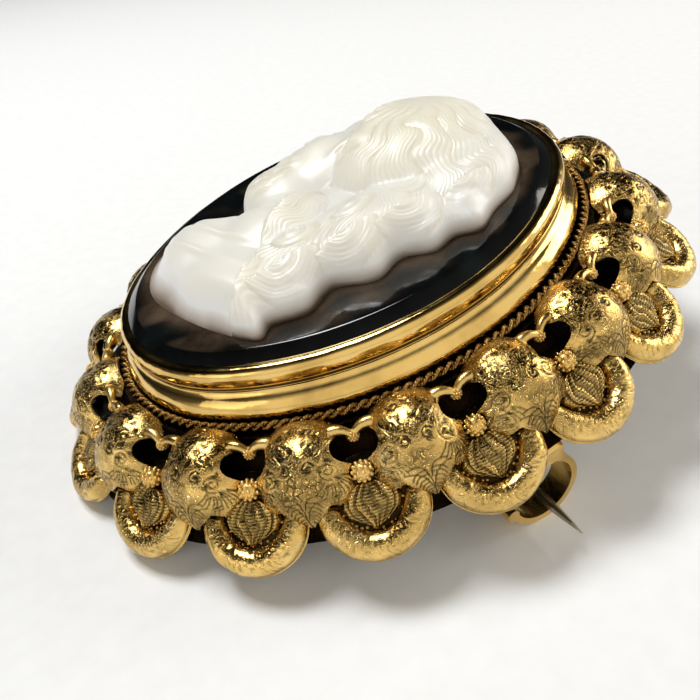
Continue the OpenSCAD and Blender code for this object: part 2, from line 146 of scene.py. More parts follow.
def gridRim(rows, columns):  # the border of a grid of points, once round
    rim = list(range(columns)) + [r * columns + columns - 1 for r in range(1, rows)]
    rim += [(rows - 1) * columns + k for k in range(columns - 2, -1, -1)]
    return rim + [r * columns for r in range(rows - 2, 0, -1)]


def upwardFaces(points, rows, columns):  # faces of an open grid, turned so that they look up
    faces = gridFaces(rows, columns, closed=False)
    a, b, c = (points[faces[:, k]] for k in range(3))
    return faces[:, ::-1] if np.cross(b - a, c - a)[:, 2].sum() < 0 else faces


def joinParts(parts):  # parts of (points, faces, attributes, uv) become one
    points, faces, attributes, uvs, count = [], [], {}, [], 0
    for p, f, a, uv in parts:
        f = np.asarray(f)
        if f.shape[1] == 3:
            f = np.concatenate([f, np.full((len(f), 1), -1)], 1)
        points.append(p)
        faces.append(np.where(f >= 0, f + count, -1))
        uvs.append(uv)
        for label, values in a.items():
            attributes.setdefault(label, []).append(values)
        count += len(p)
    merged = {label: np.concatenate(values) for label, values in attributes.items()}
    return np.concatenate(points), np.concatenate(faces), merged, np.concatenate(uvs)


def linearColour(code):  # an sRGB hex value as Blender's linear colour
    parts = [int(code[k:k + 2], 16) / 255 for k in (1, 3, 5)]
    return tuple(v / 12.92 if v <= 0.04045 else ((v + 0.055) / 1.055) ** 2.4 for v in parts) + (1.0,)


def addNode(tree, kind, settings=None):  # sockets among the settings are linked, other values are set
    node = tree.nodes.new(kind)
    for key, value in (settings or {}).items():
        if isinstance(value, bpy.types.NodeSocket):
            tree.links.new(value, node.inputs[key])
        elif isinstance(key, str) and hasattr(node, key):
            setattr(node, key, value)
        else:
            node.inputs[key].default_value = value
    return node


def maths(tree, operation, *terms):
    return addNode(tree, "ShaderNodeMath", {"operation": operation, **dict(enumerate(terms))}).outputs[0]


def vectorMaths(tree, operation, terms):
    return addNode(tree, "ShaderNodeVectorMath", {"operation": operation, **terms}).outputs[0]


def noiseAt(tree, place, scale, detail, output="Fac", roughness=0.5):  # scale in cells per metre
    settings = {"Scale": scale, "Detail": detail, "Roughness": roughness, "Vector": place}
    return addNode(tree, "ShaderNodeTexNoise", settings).outputs[output]


def attribute(tree, name):
    return addNode(tree, "ShaderNodeAttribute", {"attribute_name": name}).outputs["Fac"]


def mixColours(tree, share, low, high):
    return addNode(tree, "ShaderNodeMix", {"data_type": "RGBA", 0: share, 6: low, 7: high}).outputs[2]


def ramp(tree, source, stops):
    node = addNode(tree, "ShaderNodeValToRGB", {"Fac": source})
    while len(node.color_ramp.elements) < len(stops):
        node.color_ramp.elements.new(0.5)
    for element, (place, colour) in zip(node.color_ramp.elements, stops):
        element.position = place
        element.color = linearColour(colour) if isinstance(colour, str) else (colour, colour, colour, 1)
    return node.outputs["Color"]


def newMaterial(name):  # with its tree and the object's own coordinates
    material = bpy.data.materials.new(name)
    material.use_nodes = True
    tree = material.node_tree
    tree.nodes.clear()
    return material, tree, addNode(tree, "ShaderNodeTexCoord").outputs["Object"]


def finishMaterial(tree, settings, colour, height=None, strength=0.0, distance=0.0):
    shader = addNode(tree, "ShaderNodeBsdfPrincipled", {**settings, "Base Color": colour})
    if height is not None:
        bump = addNode(tree, "ShaderNodeBump", {"Strength": strength, "Distance": distance, "Height": height})
        tree.links.new(bump.outputs[0], shader.inputs["Normal"])
    addNode(tree, "ShaderNodeOutputMaterial", {"Surface": shader.outputs[0]})


# Camera: a phone held close over the near left side
cameraSettings = {"place": (-27.47, -53.93, 45.31), "back": (-0.3394, -0.7432, 0.5765),
                  "right": (0.8704, -0.4806, -0.1071), "lens": 36.0}


def makeCamera(s):
    data = bpy.data.cameras.new("camera")
    camera = newObject("camera", data)
    back = Vector(s["back"]).normalized()
    right = Vector(s["right"])
    right = (right - back * right.dot(back)).normalized()
    turn = Matrix((right, back.cross(right), back)).transposed().to_4x4()
    camera.matrix_world = Matrix.Translation(Vector(s["place"]) * 0.001) @ turn
    data.sensor_width = 36.0
    data.lens = s["lens"]
    data.clip_start = 0.002
    data.clip_end = 20.0
    bpy.context.scene.camera = camera


makeCamera(cameraSettings)

# Gold: hand-burnished and engraved work of about 18 carat, warm yellow, with painted shade near black in the
# hollows
goldColours = {"bright": "#EFC979", "worn": "#F6DC9E", "deep": "#8E6E34", "hollow": "#0B0702"}
# the rope's gold gets darker colours as painted shade, for the rope sunk between collet and domes
ropeShadeColours = {"bright": "#A68044", "worn": "#DDB976", "deep": "#5A3E1A", "hollow": "#080502"}
domePattern = {"cell": 0.5, "lines": 30.0, "shadeDepth": 0.85}  # engraved cells in mm, rings in each, painted shade between
scrollPattern = {"cell": 0.6, "lines": 26.0, "shadeDepth": 0.45}


def goldMaterial(name, colours, roughness, grainMm, grainDepth, shadeDepth, pattern=None):
    material, tree, place = newMaterial(name)
    cloud = noiseAt(tree, place, 260.0, 3.0)  # wear in patches of about 4 mm
    tone = ramp(tree, cloud, [(0.3, colours["deep"]), (0.55, colours["bright"]), (0.8, colours["worn"])])
    tint = mixColours(tree, 0.45, linearColour(colours["bright"]), tone)
    # painted shade: recesses are darkened towards the near-black hollow colour
    hollow = ramp(tree, attribute(tree, "recessShade"), [(0.1, 0.0), (0.8, shadeDepth)])
    height = noiseAt(tree, place, 1000.0 / grainMm, 2.0)
    if pattern:
        uv = addNode(tree, "ShaderNodeUVMap", {"uv_map": "surface"}).outputs["UV"]
        swirl = noiseAt(tree, uv, 700.0, 1.0, "Color")
        bent = vectorMaths(tree, "MULTIPLY_ADD", {0: swirl, 1: (0.0011, 0.0011, 0.0), 2: uv})
        cells = {"Scale": 1000.0 / pattern["cell"], "Vector": bent}
        gaps, leaves = (addNode(tree, "ShaderNodeTexVoronoi", {"feature": kind, **cells}).outputs["Distance"]
                        for kind in ("DISTANCE_TO_EDGE", "F1"))
        lines = maths(tree, "SINE", maths(tree, "MULTIPLY", leaves, pattern["lines"]))
        veins = ramp(tree, lines, [(0.1, 0.35), (0.6, 1.0)])
        cutWork = maths(tree, "MULTIPLY", ramp(tree, gaps, [(0.0, 0.0), (0.14, 1.0)]), veins)
        rubbed = ramp(tree, noiseAt(tree, place, 420.0, 2.0), [(0.3, 0.1), (0.66, 0.8)])
        worn = maths(tree, "MAXIMUM", cutWork, rubbed)
        height = maths(tree, "MULTIPLY_ADD", height, 0.3, worn)
        # painted shade in the low lines of the engraved pattern
        hollow = maths(tree, "MAXIMUM", hollow, ramp(tree, worn, [(0.1, pattern["shadeDepth"]), (0.7, 0.0)]))
    colour = mixColours(tree, hollow, tint, linearColour(colours["hollow"]))
    spread = {"From Min": 0.3, "From Max": 0.7, "To Min": roughness * 0.7, "To Max": roughness * 1.4}
    rough = addNode(tree, "ShaderNodeMapRange", {**spread, "Value": cloud}).outputs[0]
    finishMaterial(tree, {"Metallic": 1.0, "Roughness": rough}, colour, height, grainDepth, 0.00013)
    return material


polishedGold = goldMaterial("polishedGold", goldColours, 0.12, 1.4, 0.16, 0.95)
plainGold = goldMaterial("plainGold", goldColours, 0.2, 0.6, 0.2, 0.8)
engravedGold = goldMaterial("engravedGold", goldColours, 0.17, 0.12, 0.8, 0.97, domePattern)
scrollGold = goldMaterial("scrollGold", goldColours, 0.19, 0.12, 0.55, 0.97, scrollPattern)
shadedTwistGold = goldMaterial("shadedTwistGold", ropeShadeColours, 0.28, 0.2, 0.3, 0.9)
grainGold = goldMaterial("grainGold", goldColours, 0.28, 0.2, 0.2, 0.9)


def shadeSheetMaterial():  # soldering sheet behind the border, left matt and coloured near black as painted shade
    material, tree, place = newMaterial("shadeSheetGold")
    grit = addNode(tree, "ShaderNodeTexVoronoi", {"Scale": 3200.0, "Vector": place}).outputs["Distance"]
    # painted shade: the near-black colour stands for the shade behind the border
    colour = ramp(tree, noiseAt(tree, place, 300.0, 4.0), [(0.35, "#060403"), (0.7, "#22160A")])
    finishMaterial(tree, {"Metallic": 1.0, "Roughness": 0.55}, colour, grit, 0.7, 0.0001)
    return material


def pinWire():  # drawn wire of a pale, hard gold alloy that looks grey, brighter at the ground point
    material, tree, place = newMaterial("pinWire")
    stretched = addNode(tree, "ShaderNodeMapping", {"Scale": (1.0, 0.03, 1.0), "Vector": place}).outputs[0]
    colour = ramp(tree, noiseAt(tree, place, 400.0, 2.0), [(0.35, "#7C7768"), (0.65, "#B4AE9E")])
    drawn = noiseAt(tree, stretched, 9000.0, 2.0)
    finishMaterial(tree, {"Metallic": 1.0, "Roughness": 0.3}, colour, drawn, 0.2, 0.00004)
    return material


def darkAgate():  # polished sardonyx: near black, grey-green where light enters, brown halo by the relief
    material, tree, place = newMaterial("darkAgate")
    cloud = noiseAt(tree, place, 160.0, 5.0, roughness=0.6)
    ground = ramp(tree, cloud, [(0.3, "#050607"), (0.55, "#0D1010"), (0.8, "#1B2221")])
    brown = ramp(tree, cloud, [(0.35, "#2A2018"), (0.75, "#6E5C4A")])
    colour = mixColours(tree, attribute(tree, "halo"), ground, brown)
    tool = noiseAt(tree, place, 700.0, 2.0)
    finishMaterial(tree, {"Roughness": 0.08, "IOR": 1.54}, colour, tool, 0.12, 0.0001)
    return material


def whiteAgate():  # carved white layer: milky, cream where thick, brown-grey at the foot, partly where it thins out and partly painted shadow
    material, tree, place = newMaterial("whiteAgate")
    shift = maths(tree, "MULTIPLY_ADD", noiseAt(tree, place, 120.0, 3.0), 0.35, -0.17)
    level = maths(tree, "ADD", attribute(tree, "high"), shift)
    # the lowest parts turn brown-grey: partly the thin layer over the dark stone, partly painted shadow
    base = ramp(tree, level, [(0.0, "#6E5D50"), (0.08, "#B7ABA0"), (0.24, "#ECECEA"), (0.6, "#EFECE0"),
                              (0.95, "#EEE9D5")])
    shade = ramp(tree, attribute(tree, "recessShade"), [(0.1, 0.0), (0.9, 0.5)])
    colour = mixColours(tree, shade, base, linearColour("#CBBC96"))
    scratch = noiseAt(tree, place, 2200.0, 2.0)
    milky = {"Roughness": 0.36, "IOR": 1.54, "Subsurface Weight": 0.15, "Subsurface Radius": (1.0, 0.8, 0.6),
             "Subsurface Scale": 0.0005}
    finishMaterial(tree, milky, colour, scratch, 0.1, 0.00005)
    return material


shadeSheetGold, pinSteel, darkStone, whiteStone = shadeSheetMaterial(), pinWire(), darkAgate(), whiteAgate()

for node, material in (("catch", plainGold), ("hinge_ears", plainGold), ("hinge_rivet", plainGold),
                       ("pin", pinSteel), ("border_plate", shadeSheetGold)):
    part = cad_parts[node]
    part.data.materials.clear()
    part.data.materials.append(material)
print("camera and materials made")


def sweepRound(profile, count, ringOut):  # a closed profile of (distance out, height) carried round the oval
    turns = turnAt(np.arange(count) / count, ringOut)
    cx, cy, r = arcOf(turns)
    d, z = profile[:, 0][:, None], profile[:, 1][:, None]
    x = cx + (r + d) * np.cos(turns)
    y = cy + (r + d) * np.sin(turns)
    return np.stack([x, y, np.broadcast_to(z, x.shape)], -1), turns


def arcPoints(cx, cy, r, start, end, steps):
    a = np.radians(np.linspace(start, end, steps))
    return [(cx + r * math.cos(v), cy + r * math.sin(v)) for v in a]


def smoothStep(x, low, high):
    t = np.clip((x - low) / (high - low), 0, 1)
    return t * t * (3 - 2 * t)


# Collet: burnished rim, thin ridge and groove, wide polished band, open at the back
colletShape = {"around": 500, "rimRadius": 0.78, "rimWear": 0.07, "bandRadius": 2.06, "farDrop": 0.28}


def makeCollet(s):
    profile = arcPoints(1.4, 3.65, s["rimRadius"], 118, 4, 16)
    profile += [(2.18, 3.4), (2.17, 3.1), (2.14, 2.86), (2.08, 2.76), (1.99, 2.7), (1.97, 2.62),
                (2.05, 2.56), (2.11, 2.5), (2.05, 2.44), (1.97, 2.38), (1.96, 2.24), (2.04, 2.1)]
    profile += arcPoints(1.118, 0.182, s["bandRadius"], 56, 16, 18)
    profile += [(3.1, 0.3), (3.1, -0.1), (3.06, -0.42), (2.9, -0.45), (1.5, -0.45), (1.3, -0.43), (1.3, 0.8),
                (1.3, 1.97), (0.6, 2.0), (-0.45, 2.0), (-0.5, 2.05), (-0.5, 2.5), (-0.45, 2.56), (0.6, 2.56),
                (1.24, 2.58), (1.3, 2.7), (1.3, 3.9), (1.2, 4.2)]
    profile = np.array(profile)
    out, up = profile.T
    ring, turns = sweepRound(profile, s["around"], 2.0)
    rimPart = np.exp(-((up - 4.1) / 0.6) ** 2)[:, None]
    outside = (out > 1.5)[:, None] * 0.3 + 0.7
    wear, dents = (np.array([noise.noise(Vector((size * math.cos(t), size * math.sin(t), cut)))
                             for t in turns]) for size, cut in ((12.4, 0.3), (26, 5.3)))
    lift = (wear * 0.6 + dents * 0.4)[None, :] * s["rimWear"] * rimPart * outside
    push = wear[None, :] * 0.03 * (np.exp(-((up - 1.0) / 0.9) ** 2) * (out > 2.2))[:, None]
    ring[..., 0] += (lift + push) * np.cos(turns)
    ring[..., 1] += (lift + push) * np.sin(turns)
    ring[..., 2] += lift * 0.5 - s["farDrop"] * rimPart * smoothStep(np.sin(turns), -0.2, 0.7)[None, :]
    recessShade = np.exp(-((up - 2.5) / 0.22) ** 4) * (out > 1.9) * (out < 2.1)
    recessShade = np.clip(recessShade + (out < 1.4) * (up < 3) + (up < 0.35), 0, 1)  # painted shade: groove, inside and foot stay dark
    rows = len(profile)
    faces = gridFaces(rows + 1, s["around"], flip=True) % (rows * s["around"])
    attributes = {"recessShade": np.repeat(recessShade, s["around"])}
    mesh = makeMesh("burnishedCollet", lieDown(ring.reshape(-1, 3)), faces, attributes)
    makePiece("burnishedCollet", mesh, polishedGold, "brooch", ["collet"])


makeCollet(colletShape)
print("collet made")


def closedFaces(points, faces):  # a closed surface's faces turned so that they all point outwards
    a, b, c, d = (np.asarray(points)[faces[:, k]] for k in range(4))
    volume = np.einsum("ij,ij->", a, np.cross(b, c)) + np.einsum("ij,ij->", a, np.cross(c, d))
    return faces[:, ::-1] if volume < 0 else faces


def weld(mesh):
    work = bmesh.new()
    work.from_mesh(mesh)
    bmesh.ops.remove_doubles(work, verts=work.verts, dist=2e-6)
    bmesh.ops.recalc_face_normals(work, faces=work.faces)
    work.to_mesh(mesh)
    work.free()
    return mesh


def waves(points, scale, seed):  # smooth noise on many points, from a few turned sines
    rng = np.random.default_rng(seed)
    total = np.zeros(len(points))
    for k in range(6):
        way = rng.normal(size=points.shape[1])
        way /= np.linalg.norm(way)
        total += np.sin(points @ way * (2 * math.pi / scale) * rng.uniform(0.7, 1.5) + rng.uniform(0, 6.28))
    return total / 6


def strokeDepth(q, strokes, width):  # how deep each place lies in the nearest engraved line, 0 to 1
    line = np.concatenate(strokes)
    best = np.full(len(q), 1e9)
    for k in range(0, len(q), 4000):
        gap = np.linalg.norm(q[k:k + 4000, None, :] - line[None], axis=2)
        best[k:k + 4000] = gap.min(1)
    return np.clip(1 - best / width, 0, 1) ** 0.8


def spiral(cx, cy, start, end, turns, first):
    a = np.linspace(0, 1, int(60 * abs(turns)) + 8)
    r = start + (end - start) * a
    angle = first + a * turns * 2 * math.pi
    return np.stack([cx + r * np.cos(angle), cy + r * np.sin(angle)], 1)


def bow(x0, y0, x1, y1, bend):  # a line with a bend to one side
    a = np.linspace(0, 1, int(math.hypot(x1 - x0, y1 - y0) / 0.05) + 3)
    way, side = np.array([x1 - x0, y1 - y0]), np.array([y0 - y1, x1 - x0])
    return np.array([x0, y0]) + a[:, None] * way + (np.sin(a * math.pi) * bend)[:, None] * side


# Leaf domes: raised in thin sheet, pierced at both sides, cut to a leaf below and engraved by hand
domeShape = {"radius": 4.4, "along": -0.9, "sink": 1.35, "wall": 0.4, "around": 160, "down": 36,
             "lobeRadius": 1.8, "lobeAlong": -0.1, "lobeSide": 2.3, "biteRadius": 1.25, "biteAlong": -2.4,
             "biteSide": 3.7, "beadClear": 0.9, "sheetRadius": 3.45, "sheetTop": 0.38, "ropeClear": 4.1,
             "cutDepth": 0.07, "cutWidth": 0.12, "dents": 0.035, "fineDents": 0.015}
tipWidth = [(0.4, 2.1), (1.0, 2.12), (1.6, 1.92), (2.1, 1.45), (2.5, 0.92), (2.8, 0.5), (3.05, 0.2),
            (3.2, 0.0)]  # place along, half width


def domeStrokes(rng):  # engraved lines, in the spread-out dome's own plan
    j = lambda size: rng.uniform(-size, size)
    strokes = [bow(3.0, j(0.05), 5.2, 0, j(0.04))]
    for side in (1, -1):
        for x, y, endX, endY, bend in ((1.5, 2.75, 5.2, 0.12, 0.13), (1.8, 3.05, 5.5, 0.1, 0.13),
                                       (1.9, 1.5, 2.9, 0.1, -0.3), (2.2, 1.95, 3.9, 0.1, -0.22)):
            strokes.append(bow(x, y * side, endX, endY * side, bend * side))
        for k in range(8):  # veins of the pointed tip
            x = 2.3 + 0.36 * k + j(0.05)
            strokes.append(bow(x, (0.2 + 0.02 * k) * side, x + 0.6, (1.5 - 0.16 * k) * side, 0.2 * side))
        for k in range(11):  # fan of cuts on the lobe beside the bead
            a = -0.75 + 0.2 * k + j(0.03)
            x, y = 0.3 + 0.9 * math.cos(a), 2.6 + 0.9 * math.sin(a)
            strokes.append(bow(x, y * side, 0.3 + 2.1 * math.cos(a), (2.6 + 2.1 * math.sin(a)) * side, 0.06))
        strokes += [spiral(0.1 + j(0.1), 2.3 * side, 0.75, 0.12, -1.6 * side, 0.6 * side + j(0.3)),
                    spiral(-1.7 + j(0.2), 1.35 * side + j(0.1), 0.72, 0.12, 1.5 * side, 3.6 * side + j(0.4)),
                    spiral(-0.2 + j(0.1), 0.9 * side, 0.5, 0.1, 1.3 * side, 2.2 * side + j(0.3)),
                    spiral(-3.3 + j(0.1), 0.8 * side, 0.55, 0.1, -1.3 * side, 2.2 * side + j(0.3))]
        for k in range(9):  # small leaves between the scrolls
            x, y, a = -3.4 + 0.52 * k + j(0.1), (0.35 + 2.6 * ((k * 0.37) % 1)) * side, rng.uniform(0, 6.28)
            for cut in (-0.5, 0.0, 0.5):
                strokes.append(bow(x, y, x + 0.5 * math.cos(a + cut), y + 0.5 * math.sin(a + cut), 0.2))
    return strokes


def makeDome(index, s):
    turn = unitTurn(index + 0.5)
    beads, sheets = ([fromBorder(onBorder(np.array(spot), unitTurn(index + k)), turn) for k in (0, 1)]
                     for spot in ((border["beadAlong"], 0, 1.0), (border["scrollAlong"], 0, 0.3)))
    rng = np.random.default_rng(100 + index)
    even = np.linspace(-1, 1, s["around"], endpoint=False)
    theta = math.pi * (even - 0.6 * np.sin(math.pi * even) / math.pi)
    phi = np.linspace(0, math.acos(s["sink"] / s["radius"]), 800)
    x = s["along"] + s["radius"] * np.sin(phi)[None] * np.cos(theta)[:, None]
    y = s["radius"] * np.sin(phi)[None] * np.sin(theta)[:, None]
    w = s["radius"] * np.cos(phi)[None] - s["sink"]
    side = np.abs(y)
    tipAt, tipHalf = np.array(tipWidth).T
    inside = (x - s["lobeAlong"]) ** 2 + (side - s["lobeSide"]) ** 2 < s["lobeRadius"] ** 2
    inside |= x < s["lobeAlong"]
    inside |= (x > s["lobeAlong"] - 0.2) & (side < np.interp(x, tipAt, tipHalf))
    inside &= (x - s["biteAlong"]) ** 2 + (side - s["biteSide"]) ** 2 > s["biteRadius"] ** 2
    for bead, sheet in zip(beads, sheets):
        inside &= (x - bead[0]) ** 2 + (y - bead[1]) ** 2 > s["beadClear"] ** 2
        inside &= ((x - sheet[0]) ** 2 + (y - sheet[1]) ** 2 > s["sheetRadius"] ** 2) | (w > s["sheetTop"])
    arc = float(arcOf(np.array(turn))[2])
    level = arc + border["out"] + x * math.cos(border["lean"]) + w * math.sin(border["lean"])
    inside &= level ** 2 + y ** 2 > (arc + s["ropeClear"]) ** 2
    reach = phi[np.where(inside.all(1), len(phi) - 1, np.maximum(1, np.argmin(inside, 1) - 1))]
    share = np.concatenate([np.linspace(0, 0.985, s["down"]), [1.0]])
    outerPhi = share[:, None] * reach[None]
    spread = outerPhi * s["radius"]
    q = np.stack([spread * np.cos(theta), spread * np.sin(theta)], -1).reshape(-1, 2)
    cut = strokeDepth(q, domeStrokes(rng), s["cutWidth"])
    swell = s["dents"] * waves(q, 3.0, index) + s["fineDents"] * waves(q, 0.7, index + 50)
    radius = (s["radius"] - cut * s["cutDepth"] + swell).reshape(outerPhi.shape)
    innerPhi = reach[None] * np.linspace(1.0, 0.0, 7)[:, None]
    allPhi = np.concatenate([outerPhi, innerPhi])
    radius = np.concatenate([radius, np.full(innerPhi.shape, s["radius"] - s["wall"])])
    out = radius * np.sin(allPhi)
    points = np.stack([s["along"] + out * np.cos(theta), out * np.sin(theta),
                       radius * np.cos(allPhi) - s["sink"]], -1)
    # painted shade in the engraved lines and over the whole inside of the dome
    recessShade = np.concatenate([cut * 0.9, np.ones(innerPhi.size)])
    uv = np.concatenate([q, np.zeros((innerPhi.size, 2))]) * 0.001 + rng.uniform(-0.05, 0.05, 2)
    flat = points.reshape(-1, 3)
    faces = closedFaces(flat, gridFaces(len(allPhi), s["around"]))
    name = f"leafDome{index + 1:02d}"
    mesh = weld(makeMesh(name, lieDown(onBorder(flat, turn)), faces, {"recessShade": recessShade}, uv))
    makePiece(name, mesh, engravedGold, "brooch", [f"leaf_dome_{index + 1:02d}"])


for index in range(border["units"]):
    makeDome(index, domeShape)
print("leaf domes made")

# Scrolls: half tubes bent to a U on a cut-out sheet, with a ribbed shell set inside
scrollShape = {"radius": 3.4, "tube": 1.1, "sweep": math.radians(97), "along": 96, "section": 20,
               "leafLong": 3.1, "stem": 0.13, "hatchGap": 0.46, "leafEdge": 0.1, "cutDepth": 0.06,
               "shellGrid": (42, 64), "shellAt": -1.15, "shellLong": 3.5, "shellHigh": 1.05, "ribs": 3.0,
               "ribDepth": 0.3, "fineGap": 0.24, "sheetRadius": 3.42, "sheetThick": 0.4}


def tubePart(s, rng):
    a = np.linspace(-s["sweep"], s["sweep"], s["along"])
    b = np.radians(np.linspace(-21.3, 201.3, s["section"]))
    side = np.stack([s["tube"] * np.cos(b), s["tube"] * np.sin(b)], 1)
    foot = np.array([[-1.03, -0.4], [-0.5, -0.4], [0.5, -0.4], [1.06, -0.4], [1.15, -0.36], [1.16, -0.24],
                     [1.09, -0.17]])
    section = np.concatenate([side[1:-1], foot])
    t = np.concatenate([(b[1:-1] - math.pi / 2) * s["tube"], [2.2] * len(foot)])
    ss, tt = (a * s["radius"])[:, None] + rng.uniform(0, 3), t[None]  # place along and across the tube
    wave = 2 * math.pi * ss / s["leafLong"]
    off = np.abs(tt - 0.5 * np.sin(wave))
    stem = np.clip(1 - off / s["stem"], 0, 1)
    leafSize = 0.25 + 0.75 * np.abs(np.sin(wave + 0.9)) ** 0.6
    hatch = np.clip(np.cos(2 * math.pi * (ss - 0.75 * off ** 1.3) / s["hatchGap"]) * 1.6 - 0.5, 0, 1)
    hatch = hatch * (off > 0.14) * (off < leafSize)
    leafEdge = np.clip(1 - np.abs(off - leafSize) / s["leafEdge"], 0, 1) * 0.9
    shown = np.abs(tt) < 1.9
    cut = np.maximum(np.maximum(stem, hatch), leafEdge) * shown
    swell = 0.015 * np.sin(2 * wave + 2 * tt) * shown
    end = np.clip((s["sweep"] - np.abs(a)) * s["radius"] / 0.7, 0.02, 1)
    end = (np.sqrt(1 - (1 - end) ** 2) * (1 - 0.22 * smoothStep(np.abs(a), 0.9, s["sweep"])))[:, None]
    grow = 1 + (swell - cut * s["cutDepth"]) / np.linalg.norm(section, axis=1)[None]
    r = s["radius"] + section[None, :, 0] * grow * end
    z = section[None, :, 1] * grow * np.where(section[None, :, 1] > 0, end, 1)
    points = np.stack([r * np.cos(a)[:, None], r * np.sin(a)[:, None], z], -1)
    uv = np.stack([np.broadcast_to(ss, r.shape), np.broadcast_to(tt, r.shape)], -1).reshape(-1, 2) * 0.001
    count = len(section)
    caps = []
    for row, turnWay in ((0, 1), (len(a) - 1, -1)):
        loop = [row * count + k for k in range(count)][::turnWay]
        caps += [[loop[0], loop[k], loop[k + 1], -1] for k in range(1, count - 1)]
    flat = points.reshape(-1, 3)
    faces = np.concatenate([closedFaces(flat, gridFaces(len(a), count)), np.array(caps)])
    # painted shade in the engraved lines
    return flat, faces, {"recessShade": np.clip(0.5 * cut.ravel(), 0, 1)}, uv


def shellPart(s, rng):  # a domed shell with waving ribs, on the grained ground
    rows, columns = s["shellGrid"]
    u = np.linspace(0, 1, rows)
    halfWide = np.interp(u, [0, 0.07, 0.2, 0.4, 0.62, 0.8, 0.93, 1.0],
                         [1.0, 1.6, 2.05, 2.2, 1.95, 1.35, 0.6, 0.08])
    uu, pp = np.meshgrid(u, np.linspace(-1, 1, columns), indexing="ij")
    side = np.abs(pp)
    x = s["shellAt"] + s["shellLong"] * uu - 0.5 * (pp ** 2) * smoothStep(uu, 0.5, 1.0)
    wave = 0.1 * np.sin(2 * math.pi * uu * 1.1 + 2.6 * pp + rng.uniform(-0.8, 0.8))
    wave += 0.035 * np.sin(uu * 15 + pp * 9)
    ribs = np.abs(np.cos(math.pi * s["ribs"] * (pp + wave * (1 - pp ** 2)))) ** 0.8
    ribs = ribs * (0.72 + 0.28 * np.sin(5.0 * pp + 1.3 * np.sin(6 * uu) + rng.uniform(0, 6)))
    ribs = np.where(side > 0.84, 1.0, ribs) * np.where((side > 0.76) & (side < 0.84), 0.2, 1.0)
    fine = np.cos(2 * math.pi * (x + 0.25 * side) / s["fineGap"]) * ribs
    dome = np.clip(1 - side ** 3.2, 0, 1) ** 0.6
    dome = dome * (0.45 + 0.55 * np.sin(math.pi * np.clip(uu * 0.8 + 0.22, 0, 1)))
    edge = np.clip((1 - uu) / 0.1, 0, 1) ** 0.5
    z = s["shellHigh"] * dome * edge * (1 - s["ribDepth"] * (1 - ribs)) + 0.07 * fine * (side < 0.93) + 0.02
    y = pp * halfWide[:, None] * (1 + 0.06 * ribs * (side > 0.6))
    x = x + 0.1 * ribs * smoothStep(uu, 0.75, 1.0)
    top = np.stack([x, y, z], -1).reshape(-1, 3)
    low = np.stack([x, y * 0.96, np.full(x.shape, -0.1)], -1).reshape(-1, 3)
    faces = upwardFaces(top, rows, columns)
    n, rim = rows * columns, gridRim(rows, columns)
    wall = [[rim[k - 1], rim[k], rim[k] + n, rim[k - 1] + n] for k in range(len(rim))]
    # painted shade between the ribs and in the fine grooves, full shade on the underside
    recessShade = np.clip(0.22 + 0.5 * (1 - ribs) + 0.25 * (fine < -0.2), 0, 1).ravel()
    points = np.concatenate([top, low])
    attributes = {"recessShade": np.concatenate([recessShade, np.ones(n)])}
    return points, np.concatenate([faces, np.array(wall)]), attributes, points[:, :2] * 0.001


def sheetPart(s):
    a = np.linspace(0, 2 * math.pi, 72, endpoint=False)
    r, low = s["sheetRadius"], -s["sheetThick"]
    rings = [(0.0, 0.0), (1.2, 0.0), (2.4, 0.0), (r - 0.12, 0.0), (r, -0.06), (r, low + 0.06),
             (r - 0.12, low), (1.6, low), (0.0, low)]
    flat = np.array([[r * math.cos(v), r * math.sin(v), z] for r, z in rings for v in a])
    faces = closedFaces(flat, gridFaces(len(rings), len(a)))
    # painted shade over the whole sheet, the ground inside the loops
    return flat, faces, {"recessShade": np.full(len(flat), 0.92)}, flat[:, :2] * 0.001


def makeScroll(index, s):
    turn = unitTurn(index)
    rng = np.random.default_rng(300 + index)
    points, faces, attributes, uv = joinParts([tubePart(s, rng), shellPart(s, rng), sheetPart(s)])
    placed = points + np.array([border["scrollAlong"], 0, border["scrollUp"]])
    uv = uv + rng.uniform(-0.05, 0.05, 2)
    name = f"scroll{index + 1:02d}"
    mesh = weld(makeMesh(name, lieDown(onBorder(placed, turn)), faces, attributes, uv))
    makePiece(name, mesh, scrollGold, "brooch", [f"scroll_{index + 1:02d}"])


for index in range(border["units"]):
    makeScroll(index, scrollShape)
print("scrolls made")


# Cameo: the white layer carved to a bust whose hair falls in combed curls
bustShape = {"along": 340, "across": 250, "base": 5.02, "edge": 1.5, "edgeMore": 1.2, "wallStretch": 2.2,
             "slope": 2.5, "top": 6.0, "tableTop": 6.35, "blend": 4.0, "strand": 0.42, "strandDepth": 0.12,
             "pointsPerRow": 16}

bustOutline = [  # x towards the crown, y towards the face, in mm
    (17.0, -2.5), (16.5, 2.2), (13.2, 6.6), (10.0, 8.9), (7.5, 9.8), (6.2, 9.6), (3.7, 11.6), (2.9, 11.9),
    (2.3, 10.6), (1.2, 10.9), (0.6, 10.3), (-0.1, 10.6), (-1.1, 9.9), (-2.8, 10.2), (-5.0, 8.9), (-6.6, 6.2),
    (-7.6, 5.0), (-8.9, 5.3), (-11.0, 8.0), (-13.6, 9.9), (-16.6, 7.4), (-18.0, 2.4), (-16.2, -5.0),
    (-13.3, -10.9), (-11.5, -10.4), (-8.6, -11.4), (-5.7, -10.3), (-2.8, -12.2), (0.2, -11.4), (2.5, -12.9),
    (4.7, -12.6), (6.7, -13.6), (9.2, -12.2), (12.2, -11.0), (15.3, -7.8)]
outlineCorners = (33, 2, 20, 23)  # where the outline is split in crown, face side, hollow and hair side

